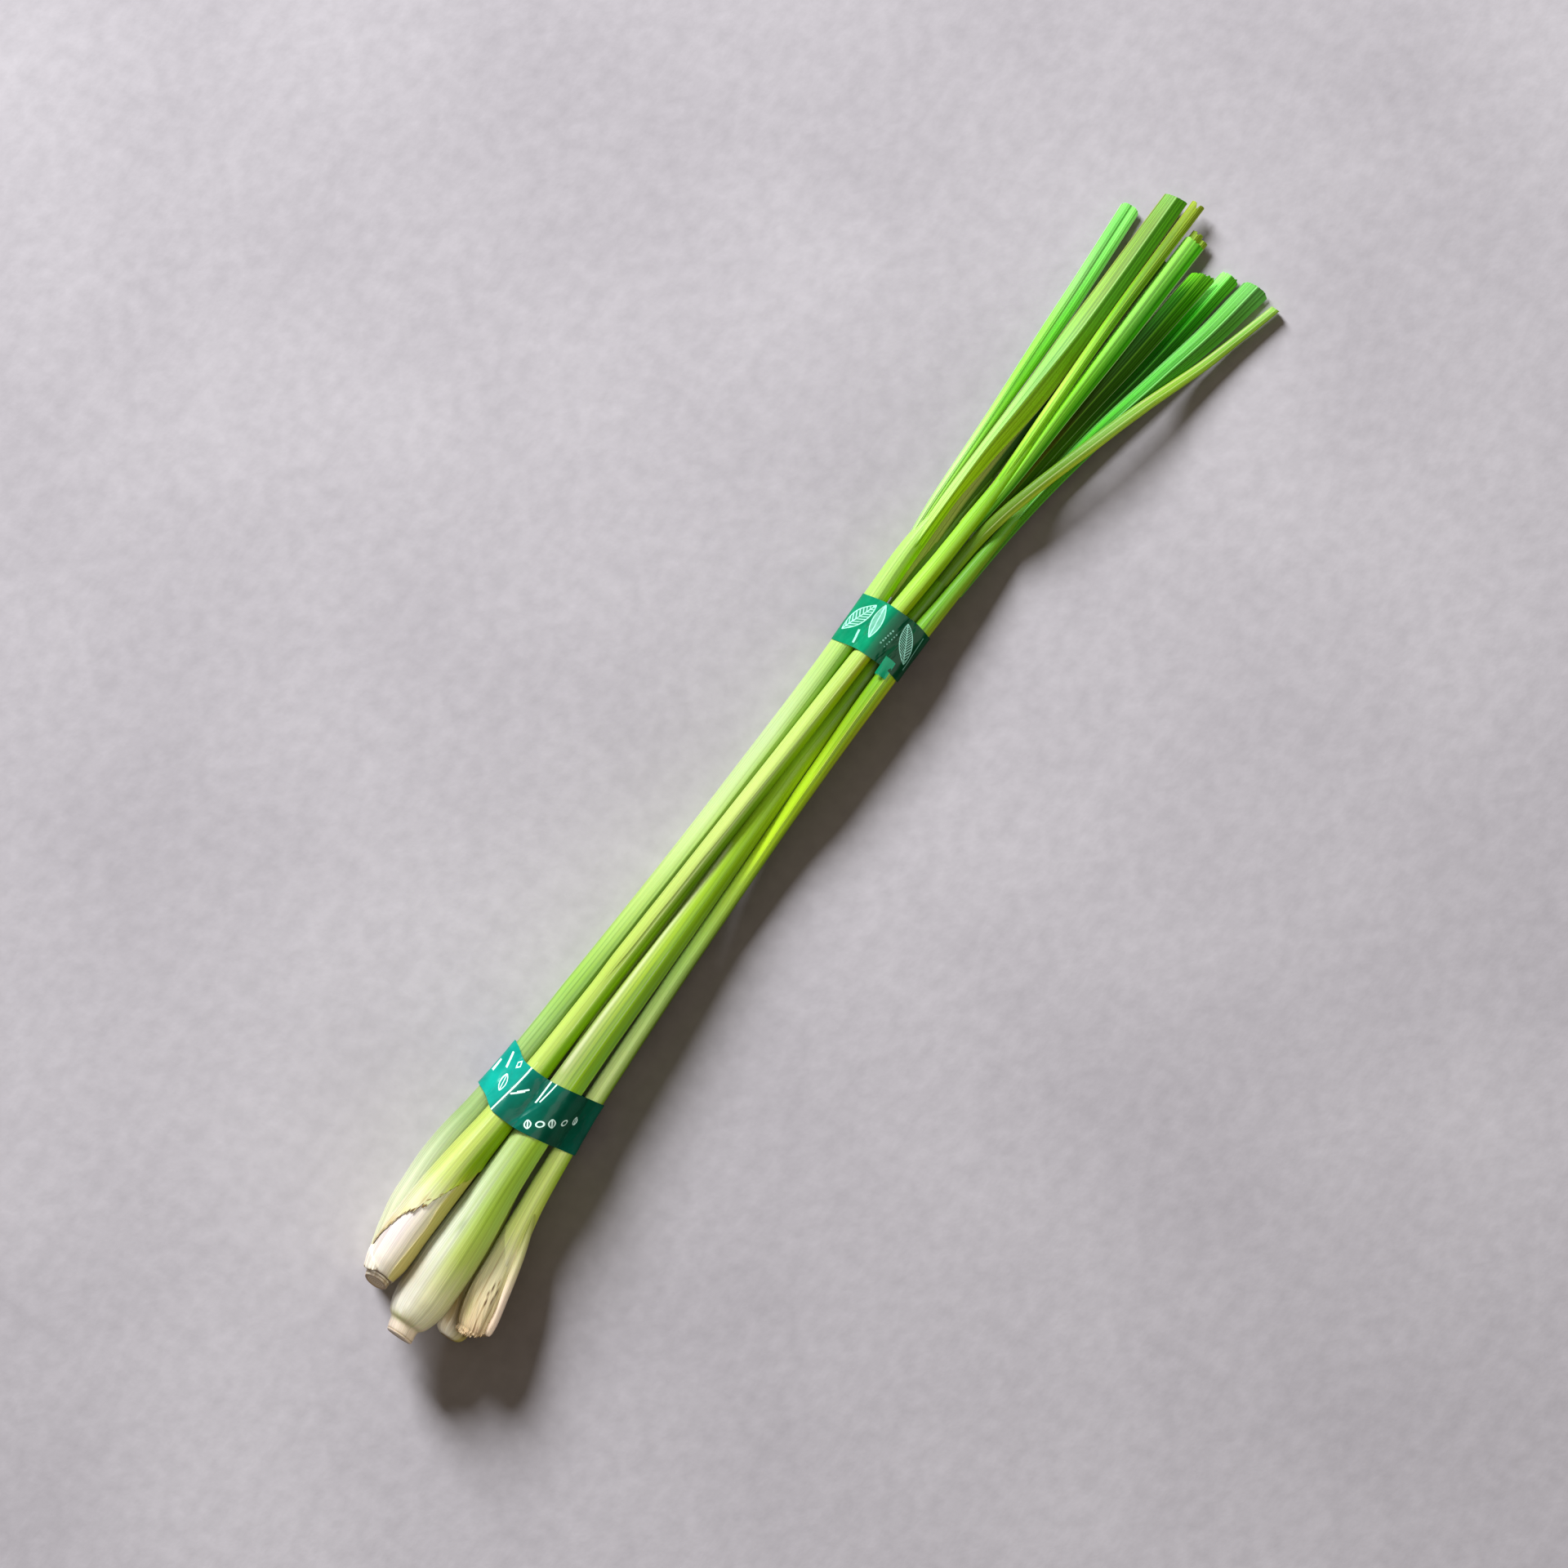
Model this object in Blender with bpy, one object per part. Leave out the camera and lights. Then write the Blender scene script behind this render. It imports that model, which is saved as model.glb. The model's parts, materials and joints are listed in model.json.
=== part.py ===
"""A bundle of five trimmed lemongrass stalks, tied with two plastic tapes and lying on a surface.

X runs along the bundle, from the cut root ends to the trimmed blade tips. Y runs across it, positive to
the bundle's left-hand side, and Z is the height above the surface. Every length below is in millimetres:
"along" counts from the shoulder of the centre stalk, and "across" from the edge between the centre
stalk's bulb and the right-hand stalk. to_world() moves a point to the part's own frame, in metres, whose
origin is under the middle of the bundle's box.
"""
import math

import bmesh
import bpy
from mathutils import Vector

MM = 0.001
MIDDLE_ALONG = 196.5
MIDDLE_ACROSS = -2.2

STEM_SIDES = 16
RING_FIRST = 1.0
RING_GROWTH = 1.22
RING_LONGEST = 11.0
FLAT_SPOT = 0.3

BLADE_THICKNESS = 0.7
BLADE_STEP = 11.0
BLADE_COLUMNS = (-1.0, -0.7, -0.3, 0.0, 0.3, 0.7, 1.0)

TAPE_THICKNESS = 0.5
TAPE_GAP = 0.4
TAPE_SIDES = 56
HULL_SIDES = 48
SHEATH_PROUD = 0.45
SHEATH_SUNK = 0.7

# How far each column of a blade hangs below its highest line, as a share of the blade's fold depth.
RIDGE_FOLD = (1.0, 0.62, 0.24, 0.0, 0.24, 0.62, 1.0)
ROLLED_FOLD = (1.0, 0.46, 0.1, 0.0, 0.1, 0.46, 1.0)
GROOVED_FOLD = (1.0, 0.15, 0.25, 0.7, 0.25, 0.15, 1.0)

# Stems. route: (along, across, height) of the middle. girth: (along, half width, half height).
# butt: how far the cut end leans (along, at its top; along, at its left side).
STEMS = {
    "stalk_left": {
        "route": ((6.9, 24.6, 5.1), (13, 25.4, 5.3), (20, 26.4, 5.5), (30, 27.4, 5.75),
                  (42, 27.4, 5.8), (50, 27.1, 5.8), (64, 25.4, 5.65), (75, 24.2, 5.5), (90, 22.9, 5.3),
                  (120, 20.3, 4.7), (180, 15.9, 5.0), (242, 13.0, 6.2), (262, 12.9, 6.0), (296, 11.0, 5.0)),
        "girth": ((6.9, 3.4, 3.4), (7.5, 3.7, 3.7), (13, 4.6, 4.6), (20, 5.3, 5.3), (30, 5.7, 5.7),
                  (42, 5.8, 5.8), (50, 5.5, 5.5), (64, 4.8, 4.8), (75, 4.5, 4.5), (100, 4.2, 4.2),
                  (120, 4.0, 4.0), (160, 3.8, 3.8), (200, 3.7, 3.7), (242, 3.5, 3.6), (262, 3.1, 3.1),
                  (296, 1.0, 1.0)),
        "butt": (0.6, 0.0),
    },
    "stalk_front": {
        "route": ((4.9, 22.6, 16.4), (7, 22.9, 16.6), (12, 23.3, 17.1), (20, 23.3, 17.5), (30, 22.8, 17.6),
                  (50, 21.0, 15.5), (64, 19.4, 13.8), (82, 17.9, 12.2), (120, 15.3, 11.1), (160, 12.3, 11.1),
                  (200, 9.3, 10.5), (242, 6.3, 8.9), (262, 4.3, 8.2), (285, 2.4, 7.6), (312, 0.6, 6.6)),
        "girth": ((4.9, 3.5, 3.5), (5.3, 3.75, 3.75), (6.5, 3.8, 3.8), (6.8, 4.2, 4.2), (9, 5.0, 5.0),
                  (13, 5.8, 5.8), (20, 6.1, 6.1), (30, 6.0, 6.0), (50, 5.2, 5.2), (64, 4.5, 4.5),
                  (82, 3.75, 3.75), (100, 3.4, 3.4), (140, 3.0, 3.0), (200, 2.9, 2.9), (242, 2.6, 2.6),
                  (262, 2.6, 2.5), (285, 2.4, 1.9), (312, 1.0, 0.9)),
        "butt": (1.3, 0.0),
    },
    "stalk_centre": {
        "route": ((-4.6, 8.2, 12.8), (0, 8.9, 13.0), (10, 8.7, 13.5), (30, 8.6, 14.3), (50, 8.8, 14.3),
                  (75, 8.4, 13.8), (100, 7.8, 12.5), (120, 7.0, 11.3), (160, 5.6, 8.7), (185, 4.9, 7.5),
                  (200, 4.4, 6.7), (215, 3.3, 5.7), (242, 1.6, 4.0), (262, -0.3, 4.1), (276, -1.2, 4.4)),
        "girth": ((-4.6, 3.9, 3.9), (-4.2, 4.2, 4.2), (-1.2, 4.5, 4.5), (-0.3, 4.9, 4.9), (0.3, 5.7, 5.7),
                  (2, 6.6, 6.6), (5, 7.6, 7.6), (10, 8.3, 8.2), (20, 8.3, 8.2), (30, 7.8, 7.8),
                  (40, 7.0, 7.0), (50, 6.2, 6.2), (64, 5.5, 5.5), (82, 5.0, 5.0), (120, 4.4, 4.4),
                  (160, 3.65, 3.65), (185, 3.2, 3.2), (200, 3.0, 3.0), (215, 2.7, 2.7), (242, 2.5, 2.5),
                  (262, 2.1, 2.1), (276, 1.2, 1.2)),
        "butt": (0.5, 0.0),
    },
    "stalk_right": {
        "route": ((8.6, -8.4, 11.8), (13, -7.4, 11.5), (18, -6.6, 11.2), (30, -4.9, 9.4), (40, -3.4, 7.8),
                  (50, -2.4, 6.4), (64, -1.6, 5.4), (82, -0.7, 5.0), (120, -0.5, 5.3), (160, -0.8, 6.2),
                  (180, -1.0, 6.9), (200, -1.4, 8.5), (218, -1.8, 8.6), (242, -2.9, 7.8), (262, -4.6, 6.7),
                  (298, -8.2, 4.0)),
        "girth": ((8.6, 4.6, 3.9), (10, 5.2, 4.3), (13, 5.8, 4.7), (18, 6.2, 5.0), (30, 5.0, 4.5),
                  (40, 4.1, 4.0), (50, 3.4, 3.4), (64, 3.0, 3.0), (82, 2.7, 2.7), (120, 2.5, 2.5),
                  (170, 2.35, 2.35), (200, 2.5, 2.5), (230, 2.9, 2.9), (262, 2.4, 2.4), (298, 1.4, 1.1)),
        "butt": (0.9, -1.0),
    },
    "stalk_under": {
        "route": ((2.8, -3.5, 4.0), (8, -3.2, 3.9), (17, -0.4, 3.8), (30, 2.8, 3.9), (50, 6.4, 4.2),
                  (75, 9.4, 4.85), (120, 10.1, 4.1), (160, 10.0, 3.5), (185, 9.2, 3.0), (200, 8.3, 2.7),
                  (215, 7.8, 2.8), (242, 7.4, 3.1), (270, 6.6, 2.9), (300, 5.0, 2.4)),
        "girth": ((2.8, 2.4, 1.8), (3.2, 3.4, 2.6), (4.5, 4.6, 3.4), (7, 5.2, 3.9), (17, 4.6, 3.8),
                  (30, 4.0, 3.6), (60, 3.6, 3.5), (100, 3.1, 3.1), (160, 2.6, 2.6), (200, 2.25, 2.25),
                  (242, 2.15, 2.15), (270, 2.0, 1.7), (300, 1.2, 0.8)),
        "butt": (0.3, 0.0),
    },
}

# Trimmed leaf blades. line: (along, across, height) of the highest line of the blade.
# spread: (along, left half width, right half width, fold depth). trim: how far past the last point each
# column of the blade is cut.
BLADES = {
    "stalk_left": (
        {
            "line": ((266, 14.0, 7.6), (285, 14.4, 7.0), (310, 14.3, 5.6), (350, 14.2, 4.2),
                     (385, 14.8, 2.2)),
            "spread": ((266, 0.9, 0.7, 0.8), (285, 1.6, 0.9, 1.1), (310, 1.8, 1.7, 1.3),
                       (350, 2.7, 2.7, 1.4), (385, 2.8, 2.7, 1.4)),
            "fold": GROOVED_FOLD,
            "trim": (-1.6, 0.2, 1.0, 1.2, 1.0, 1.3, 0.6),
        },
        {
            "line": ((258, 12.6, 8.8), (285, 11.6, 8.6), (300, 11.0, 8.4), (325, 9.0, 7.6),
                     (350, 7.0, 6.6), (394, 5.5, 4.6)),
            "spread": ((258, 2.6, 2.6, 1.8), (285, 2.2, 2.2, 2.0), (300, 1.9, 3.4, 2.4),
                       (325, 2.6, 5.0, 2.9), (350, 3.9, 4.0, 2.8), (394, 3.3, 3.5, 2.4)),
            "fold": RIDGE_FOLD,
            "trim": (0.6, 0.9, 1.3, 1.9, 1.6, 1.3, 1.0),
        },
    ),
    "stalk_front": (
        {
            "line": ((282, 3.2, 8.7), (300, 1.8, 8.4), (325, 1.5, 7.6), (350, 1.2, 6.9),
                     (396, -1.0, 4.8)),
            "spread": ((282, 1.9, 1.2, 0.8), (300, 1.5, 1.2, 1.0), (325, 1.6, 1.3, 1.2),
                       (350, 1.6, 1.5, 1.3), (396, 2.0, 1.9, 1.1)),
            "fold": ROLLED_FOLD,
            "trim": (1.3, 1.9, 1.6, -0.4, 0.4, 1.4, 1.2),
        },
        {
            "line": ((282, 1.2, 8.4), (300, -0.4, 7.9), (325, -1.2, 7.2), (350, -2.4, 6.4),
                     (387, -4.4, 4.6)),
            "spread": ((282, 1.2, 1.2, 0.8), (300, 0.9, 1.9, 1.4), (325, 1.1, 2.9, 2.0),
                       (350, 1.2, 3.8, 2.3), (387, 1.2, 5.0, 2.2)),
            "fold": RIDGE_FOLD,
            "trim": (1.5, 1.2, 2.6, 2.9, 0.6, -0.8, 1.6),
        },
    ),
    "stalk_centre": (
        {
            "line": ((262, -0.4, 5.2), (285, -2.0, 4.8), (300, -3.4, 4.6), (325, -6.4, 4.7),
                     (350, -9.8, 4.9), (380, -13.4, 4.0)),
            "spread": ((262, 1.4, 1.4, 0.8), (285, 1.6, 1.5, 0.9), (300, 1.7, 1.7, 1.0),
                       (325, 2.3, 2.3, 1.1), (350, 2.8, 3.0, 1.3), (380, 3.3, 3.6, 1.4)),
            "fold": RIDGE_FOLD,
            "trim": (-0.9, -0.4, 0.4, 1.2, 1.0, 1.6, 2.2),
        },
    ),
    "stalk_right": (
        {
            "line": ((264, -4.4, 5.2), (285, -6.4, 3.8), (300, -7.6, 2.9), (325, -10.6, 2.6),
                     (350, -15.2, 2.5), (384, -20.3, 2.0)),
            "spread": ((264, 1.4, 1.4, 0.8), (285, 1.6, 1.6, 0.9), (300, 1.8, 1.8, 1.0),
                       (325, 2.3, 2.3, 1.1), (350, 2.4, 2.5, 1.2), (384, 2.9, 2.9, 1.3)),
            "fold": RIDGE_FOLD,
            "trim": (0.2, 1.4, 2.0, 2.3, 2.3, 2.1, 1.2),
        },
        {
            "line": ((264, -5.6, 7.6), (285, -7.4, 6.0), (300, -9.4, 5.2), (325, -14.2, 4.8),
                     (350, -20.4, 4.6), (370, -25.4, 3.9), (386, -28.5, 3.1)),
            "spread": ((264, 1.6, 1.6, 1.6), (285, 2.0, 2.1, 1.8), (300, 2.2, 2.3, 1.9),
                       (325, 2.8, 2.6, 2.0), (350, 3.2, 2.9, 2.1), (370, 3.6, 3.6, 2.2),
                       (386, 4.0, 4.0, 2.2)),
            "fold": RIDGE_FOLD,
            "trim": (-0.9, 0.2, 0.6, 1.6, 1.2, 0.9, 0.2),
        },
    ),
    "stalk_under": (
        {
            "line": ((264, 7.4, 4.2), (285, 7.0, 4.3), (305, 5.8, 4.0), (325, 4.2, 3.4), (350, 2.2, 2.5),
                     (378, 0.2, 1.8)),
            "spread": ((264, 1.5, 1.5, 0.9), (285, 1.9, 1.9, 1.1), (305, 2.2, 2.2, 1.2),
                       (325, 2.4, 2.4, 1.2), (350, 2.6, 2.6, 1.2), (378, 2.8, 2.8, 1.1)),
            "fold": RIDGE_FOLD,
            "trim": (0.2, 0.9, 0.4, 1.4, 0.8, 1.2, 0.1),
        },
    ),
}

# Slim parts that stand out of a stem: (along, across, height) and (along, half width, half height).
RODS = {
    "stalk_centre": {
        "route": ((252, 0.3, 4.2), (266, -0.6, 4.8), (278, -1.7, 5.9), (290, -4.0, 7.9), (300, -6.8, 8.7),
                  (320, -13.5, 8.2), (340, -20.6, 6.6), (350, -24.6, 4.7), (360, -28.5, 3.2),
                  (372, -32.4, 2.3), (384.8, -36.4, 1.9)),
        "girth": ((252, 1.4, 1.2), (266, 1.8, 1.4), (290, 2.0, 1.5), (320, 2.1, 1.5), (350, 1.8, 1.4),
                  (384.8, 1.35, 1.2)),
    },
    "stalk_right": {
        "route": ((9.9, -12.4, 11.2), (14, -11.9, 10.8), (22, -10.2, 10.2), (34, -7.6, 9.0),
                  (48, -3.8, 7.2)),
        "girth": ((9.9, 0.7, 1.2), (10.6, 1.2, 2.0), (14, 1.6, 2.8), (22, 1.7, 3.0), (34, 1.5, 2.8),
                  (48, 1.0, 1.8)),
    },
}

# The torn outer sheath of the front stalk: (turn round the stem, along) of its edge. The turn counts
# from the left-hand side, over the top.
TORN_EDGE = ((0, 13.0), (0.07, 18.5), (0.11, 21.5), (0.15, 26.5), (0.19, 28.5), (0.235, 30.5),
             (0.29, 36.5), (0.34, 41.0), (0.41, 45.0), (0.47, 48.5), (0.56, 47.0), (0.66, 39.0),
             (0.76, 27.0), (0.88, 17.0), (1.0, 13.0))
SHEATH_END = 80.0

# Tapes: middle along the bundle, width, and (across, shift along) of the tape's slightly wandering line.
TAPES = {
    "band_lower": {
        "along": 73.0,
        "width": 17.0,
        "wander": ((-6, 2.9), (5, 1.2), (15, 0.0), (22, 0.5), (27, 3.4), (31, 5.0)),
    },
    "band_upper": {
        "along": 242.2,
        "width": 16.0,
        "wander": ((-8, -1.4), (0, 0.5), (8, 0.7), (17, -0.9)),
    },
}

# The cut end of the upper tape, a flap that stands out of the band's edge on the right-hand stalk.
FLAP_ACROSS = (1.0, -2.4)
FLAP_ALONG = (-10.9, -5.0)
FLAP_TEETH = 4
FLAP_TOOTH = 0.9
FLAP_ROWS = 3

COLOURS = {
    "stalk_left": (0.52, 0.68, 0.24),
    "stalk_front": (0.50, 0.66, 0.16),
    "stalk_centre": (0.46, 0.62, 0.15),
    "stalk_right": (0.38, 0.54, 0.12),
    "stalk_under": (0.30, 0.44, 0.10),
    "band_lower": (0.03, 0.42, 0.27),
    "band_upper": (0.02, 0.34, 0.21),
}


def to_world(along, across, height):
    """A point of the bundle in the part's own frame, in metres."""
    return Vector(((along - MIDDLE_ALONG) * MM, (across - MIDDLE_ACROSS) * MM, height * MM))


def end_slope(step, next_step, rise, next_rise):
    """Slope of a smooth curve between two stretches, level where the curve turns back."""
    slope, next_slope = rise / step, next_rise / next_step
    if slope * next_slope <= 0:
        return 0.0
    near, far = 2 * next_step + step, next_step + 2 * step
    return (near + far) / (near / slope + far / next_slope)


def smooth(knots, place, column):
    """Value of one column of the knots at a place, on a smooth curve that doesn't overshoot."""
    if place <= knots[0][0]:
        return knots[0][column]
    if place >= knots[-1][0]:
        return knots[-1][column]
    index = max(i for i in range(len(knots) - 1) if knots[i][0] <= place)
    steps = [b[0] - a[0] for a, b in zip(knots, knots[1:])]
    rises = [b[column] - a[column] for a, b in zip(knots, knots[1:])]
    slopes = [rises[0] / steps[0]]
    for i in range(len(steps) - 1):
        slopes.append(end_slope(steps[i], steps[i + 1], rises[i], rises[i + 1]))
    slopes.append(rises[-1] / steps[-1])
    step = steps[index]
    t = (place - knots[index][0]) / step
    return ((2 * t**3 - 3 * t**2 + 1) * knots[index][column] + (t**3 - 2 * t**2 + t) * step * slopes[index]
            + (3 * t**2 - 2 * t**3) * knots[index + 1][column] + (t**3 - t**2) * step * slopes[index + 1])


def stem_point(stem, along, turn, proud=0.0):
    """(along, across, height) of a stem's skin, a turn being 1 all the way round from its left side."""
    angle = 2 * math.pi * turn
    half_width = smooth(stem["girth"], along, 1) + proud
    half_height = smooth(stem["girth"], along, 2) + proud
    across = smooth(stem["route"], along, 1) + half_width * math.cos(angle)
    height = smooth(stem["route"], along, 2) + half_height * math.sin(angle)
    return along, across, height


def ring_places(start, end):
    """Places of a stem's rings, close together at the cut end and further apart along the stem."""
    places, step = [start], RING_FIRST
    while places[-1] + 1.6 * step < end:
        places.append(places[-1] + step)
        step = min(step * RING_GROWTH, RING_LONGEST)
    return places + [end]


def rod_mesh(stem, lean, sides):
    """Closed round body along a stem's route, its first ring leaning as the cut end does."""
    mesh = bmesh.new()
    start, end = stem["route"][0][0], stem["route"][-1][0]
    rings = []
    for along in ring_places(start, end):
        fade = max(0.0, 1.0 - (along - start) / 12.0)
        ring = []
        for side in range(sides):
            turn = (side + 0.5) / sides
            _, across, height = stem_point(stem, along, turn)
            angle = 2 * math.pi * turn
            shift = fade * (lean[0] * math.sin(angle) + lean[1] * math.cos(angle))
            if height < FLAT_SPOT:
                height = 0.0
            ring.append(mesh.verts.new(to_world(along + shift, across, height)))
        rings.append(ring)
    for ring, following in zip(rings, rings[1:]):
        for side in range(sides):
            after = (side + 1) % sides
            mesh.faces.new((ring[side], ring[after], following[after], following[side]))
    mesh.faces.new(reversed(rings[0]))
    mesh.faces.new(rings[-1])
    bmesh.ops.triangulate(mesh, faces=[face for face in mesh.faces if len(face.verts) > 4])
    return mesh


def blade_section(blade, along, place):
    """Across and height of each column of a blade, on its upper and its lower face."""
    left, right = smooth(blade["spread"], along, 1), smooth(blade["spread"], along, 2)
    depth = smooth(blade["spread"], along, 3)
    middle, top = smooth(blade["line"], along, 1), smooth(blade["line"], along, 2)
    points = []
    for column, fall in zip(BLADE_COLUMNS, blade["fold"]):
        half = left if column < 0 else right
        points.append((middle - column * half, top - fall * depth))
    upper, lower = [], []
    for index, (across, height) in enumerate(points):
        before, after = points[max(index - 1, 0)], points[min(index + 1, len(points) - 1)]
        run, rise = before[0] - after[0], before[1] - after[1]
        size = math.hypot(run, rise)
        offset = (-rise / size * BLADE_THICKNESS / 2, run / size * BLADE_THICKNESS / 2)
        upper.append((across + offset[0], height + offset[1]))
        lower.append((across - offset[0], height - offset[1]))
    trim = [cut if place == 1.0 else 0.0 for cut in blade["trim"]]
    return upper, lower, trim


def blade_mesh(blade):
    """Thin folded leaf blade, with the same triangles on its upper and its lower face."""
    mesh = bmesh.new()
    start, end = blade["line"][0][0], blade["line"][-1][0]
    count = max(4, round((end - start) / BLADE_STEP))
    rows = []
    for step in range(count + 1):
        along = start + (end - start) * step / count
        upper, lower, trim = blade_section(blade, along, step / count)
        rows.append([[mesh.verts.new(to_world(along + cut, *point)) for point, cut in zip(face, trim)]
                     for face in (upper, lower)])
    for row, following in zip(rows, rows[1:]):
        (upper, lower), (next_upper, next_lower) = row, following
        for index in range(len(upper) - 1):
            mesh.faces.new((upper[index], upper[index + 1], next_upper[index + 1]))
            mesh.faces.new((upper[index], next_upper[index + 1], next_upper[index]))
            mesh.faces.new((lower[index], next_lower[index + 1], lower[index + 1]))
            mesh.faces.new((lower[index], next_lower[index], next_lower[index + 1]))
        for index, flip in ((0, False), (-1, True)):
            side = (upper[index], next_upper[index], next_lower[index], lower[index])
            mesh.faces.new(tuple(reversed(side)) if flip else side)
    for (upper, lower), flip in ((rows[0], False), (rows[-1], True)):
        for index in range(len(upper) - 1):
            face = (upper[index], lower[index], lower[index + 1], upper[index + 1])
            mesh.faces.new(tuple(reversed(face)) if flip else face)
    return mesh


def torn_sheath_mesh(stem):
    """Outer sheath of the front stalk: a sleeve whose lower edge is torn on a slant."""
    mesh = bmesh.new()
    sides, steps = 30, 9
    faces = []
    for proud in (SHEATH_PROUD, SHEATH_PROUD - SHEATH_SUNK):
        rows = []
        for step in range(steps + 1):
            part = step / steps
            lift = proud if proud < 0 else proud * min(1.0, 3.0 * (1.0 - part)) - 0.1 * part
            row = []
            for side in range(sides):
                turn = side / sides
                edge = smooth(TORN_EDGE, turn, 1)
                along = edge + (SHEATH_END - edge) * part
                row.append(mesh.verts.new(to_world(*stem_point(stem, along, turn, lift))))
            rows.append(row)
        faces.append(rows)
    outer, inner = faces
    for side in range(sides):
        after = (side + 1) % sides
        for step in range(steps):
            near, far = outer[step], outer[step + 1]
            mesh.faces.new((near[side], near[after], far[after], far[side]))
            near, far = inner[step], inner[step + 1]
            mesh.faces.new((near[after], near[side], far[side], far[after]))
        mesh.faces.new((outer[0][after], outer[0][side], inner[0][side], inner[0][after]))
        mesh.faces.new((outer[-1][side], outer[-1][after], inner[-1][after], inner[-1][side]))
    return mesh


def hull(points):
    """Corners of the tight outline round flat points, counter-clockwise."""
    ordered = sorted(set(points))
    outline = []
    for side in (ordered, list(reversed(ordered))):
        chain = []
        for point in side:
            while len(chain) > 1:
                (ax, ay), (bx, by) = chain[-2], chain[-1]
                if (bx - ax) * (point[1] - ay) - (by - ay) * (point[0] - ax) > 0:
                    break
                chain.pop()
            chain.append(point)
        outline += chain[:-1]
    return outline


def spaced_outline(corners, count):
    """Points at even distances round an outline, from its corner furthest to the left."""
    start = max(range(len(corners)), key=lambda index: corners[index][0])
    corners = corners[start:] + corners[:start]
    ends = corners[1:] + corners[:1]
    lengths = [math.dist(a, b) for a, b in zip(corners, ends)]
    points, index, walked = [], 0, 0.0
    for step in range(count):
        target = sum(lengths) * step / count
        while walked + lengths[index] < target:
            walked += lengths[index]
            index += 1
        part = (target - walked) / lengths[index]
        (ax, ay), (bx, by) = corners[index], ends[index]
        points.append((ax + (bx - ax) * part, ay + (by - ay) * part))
    return points


def tape_line(tape, edge, across):
    """Place along the bundle of a line on the tape, where it crosses one place across the bundle."""
    return tape["along"] + edge + smooth(tape["wander"], across, 1)


def tape_hull(tape, edge, gap):
    """Corners of the tight outline of the stems under a line of the tape, a gap outside their skins."""
    points = []
    for name, stem in STEMS.items():
        along = tape_line(tape, edge, smooth(stem["route"], tape["along"], 1))
        proud = gap + (SHEATH_PROUD if name == "stalk_front" and along < SHEATH_END else 0.0)
        for side in range(HULL_SIDES):
            points.append(stem_point(stem, along, side / HULL_SIDES, proud)[1:])
    return hull(points)


def tape_mesh(tape):
    """Tape pulled tight round the stems, as one closed band."""
    mesh = bmesh.new()
    gaps = (TAPE_GAP, TAPE_GAP + TAPE_THICKNESS)
    edges = [tape["width"] * part for part in (-0.5, -0.25, 0.0, 0.25, 0.5)]
    shells = []
    for gap in gaps:
        rings = []
        for edge in edges:
            ring = []
            for across, height in spaced_outline(tape_hull(tape, edge, gap), TAPE_SIDES):
                along = tape_line(tape, edge, across)
                ring.append(mesh.verts.new(to_world(along, across, height)))
            rings.append(ring)
        shells.append(rings)
    inner, outer = shells
    for side in range(TAPE_SIDES):
        after = (side + 1) % TAPE_SIDES
        for step in range(len(edges) - 1):
            near, far = outer[step], outer[step + 1]
            mesh.faces.new((near[side], near[after], far[after], far[side]))
            near, far = inner[step], inner[step + 1]
            mesh.faces.new((near[after], near[side], far[side], far[after]))
        mesh.faces.new((outer[0][after], outer[0][side], inner[0][side], inner[0][after]))
        mesh.faces.new((outer[-1][side], outer[-1][after], inner[-1][after], inner[-1][side]))
    return mesh


def height_on_top(corners, across):
    """Height of an outline's upper side at one place across the bundle."""
    heights = []
    for (ax, ay), (bx, by) in zip(corners, corners[1:] + corners[:1]):
        if min(ax, bx) <= across <= max(ax, bx) and ax != bx:
            heights.append(ay + (by - ay) * (across - ax) / (bx - ax))
    return max(heights)


def tape_flap_mesh(tape):
    """Toothed cut end of a tape, lying on the band and just past its edge."""
    mesh = bmesh.new()
    columns = 2 * FLAP_TEETH
    rows = []
    for row in range(FLAP_ROWS + 1):
        edge = FLAP_ALONG[0] + (FLAP_ALONG[1] - FLAP_ALONG[0]) * row / FLAP_ROWS
        layers = []
        for gap in (TAPE_GAP + TAPE_THICKNESS * 1.2, TAPE_GAP):
            corners = tape_hull(tape, edge, gap)
            layer = []
            for column in range(columns + 1):
                across = FLAP_ACROSS[0] + (FLAP_ACROSS[1] - FLAP_ACROSS[0]) * column / columns
                tooth = FLAP_TOOTH if row == 0 and column % 2 else 0.0
                along = tape_line(tape, edge, across) + tooth
                layer.append(mesh.verts.new(to_world(along, across, height_on_top(corners, across))))
            layers.append(layer)
        rows.append(layers)
    for (upper, lower), (next_upper, next_lower) in zip(rows, rows[1:]):
        for index in range(columns):
            mesh.faces.new((upper[index], upper[index + 1], next_upper[index + 1], next_upper[index]))
            mesh.faces.new((lower[index], next_lower[index], next_lower[index + 1], lower[index + 1]))
        for index in (0, columns):
            mesh.faces.new((upper[index], next_upper[index], next_lower[index], lower[index]))
    for upper, lower in (rows[0], rows[-1]):
        for index in range(columns):
            mesh.faces.new((upper[index], lower[index], lower[index + 1], upper[index + 1]))
    return mesh


def mesh_object(name, mesh):
    """Object made from a bmesh, at the world's origin."""
    data = bpy.data.meshes.new(name)
    bmesh.ops.recalc_face_normals(mesh, faces=mesh.faces[:])
    mesh.to_mesh(data)
    mesh.free()
    made = bpy.data.objects.new(name, data)
    bpy.context.scene.collection.objects.link(made)
    return made


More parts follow.
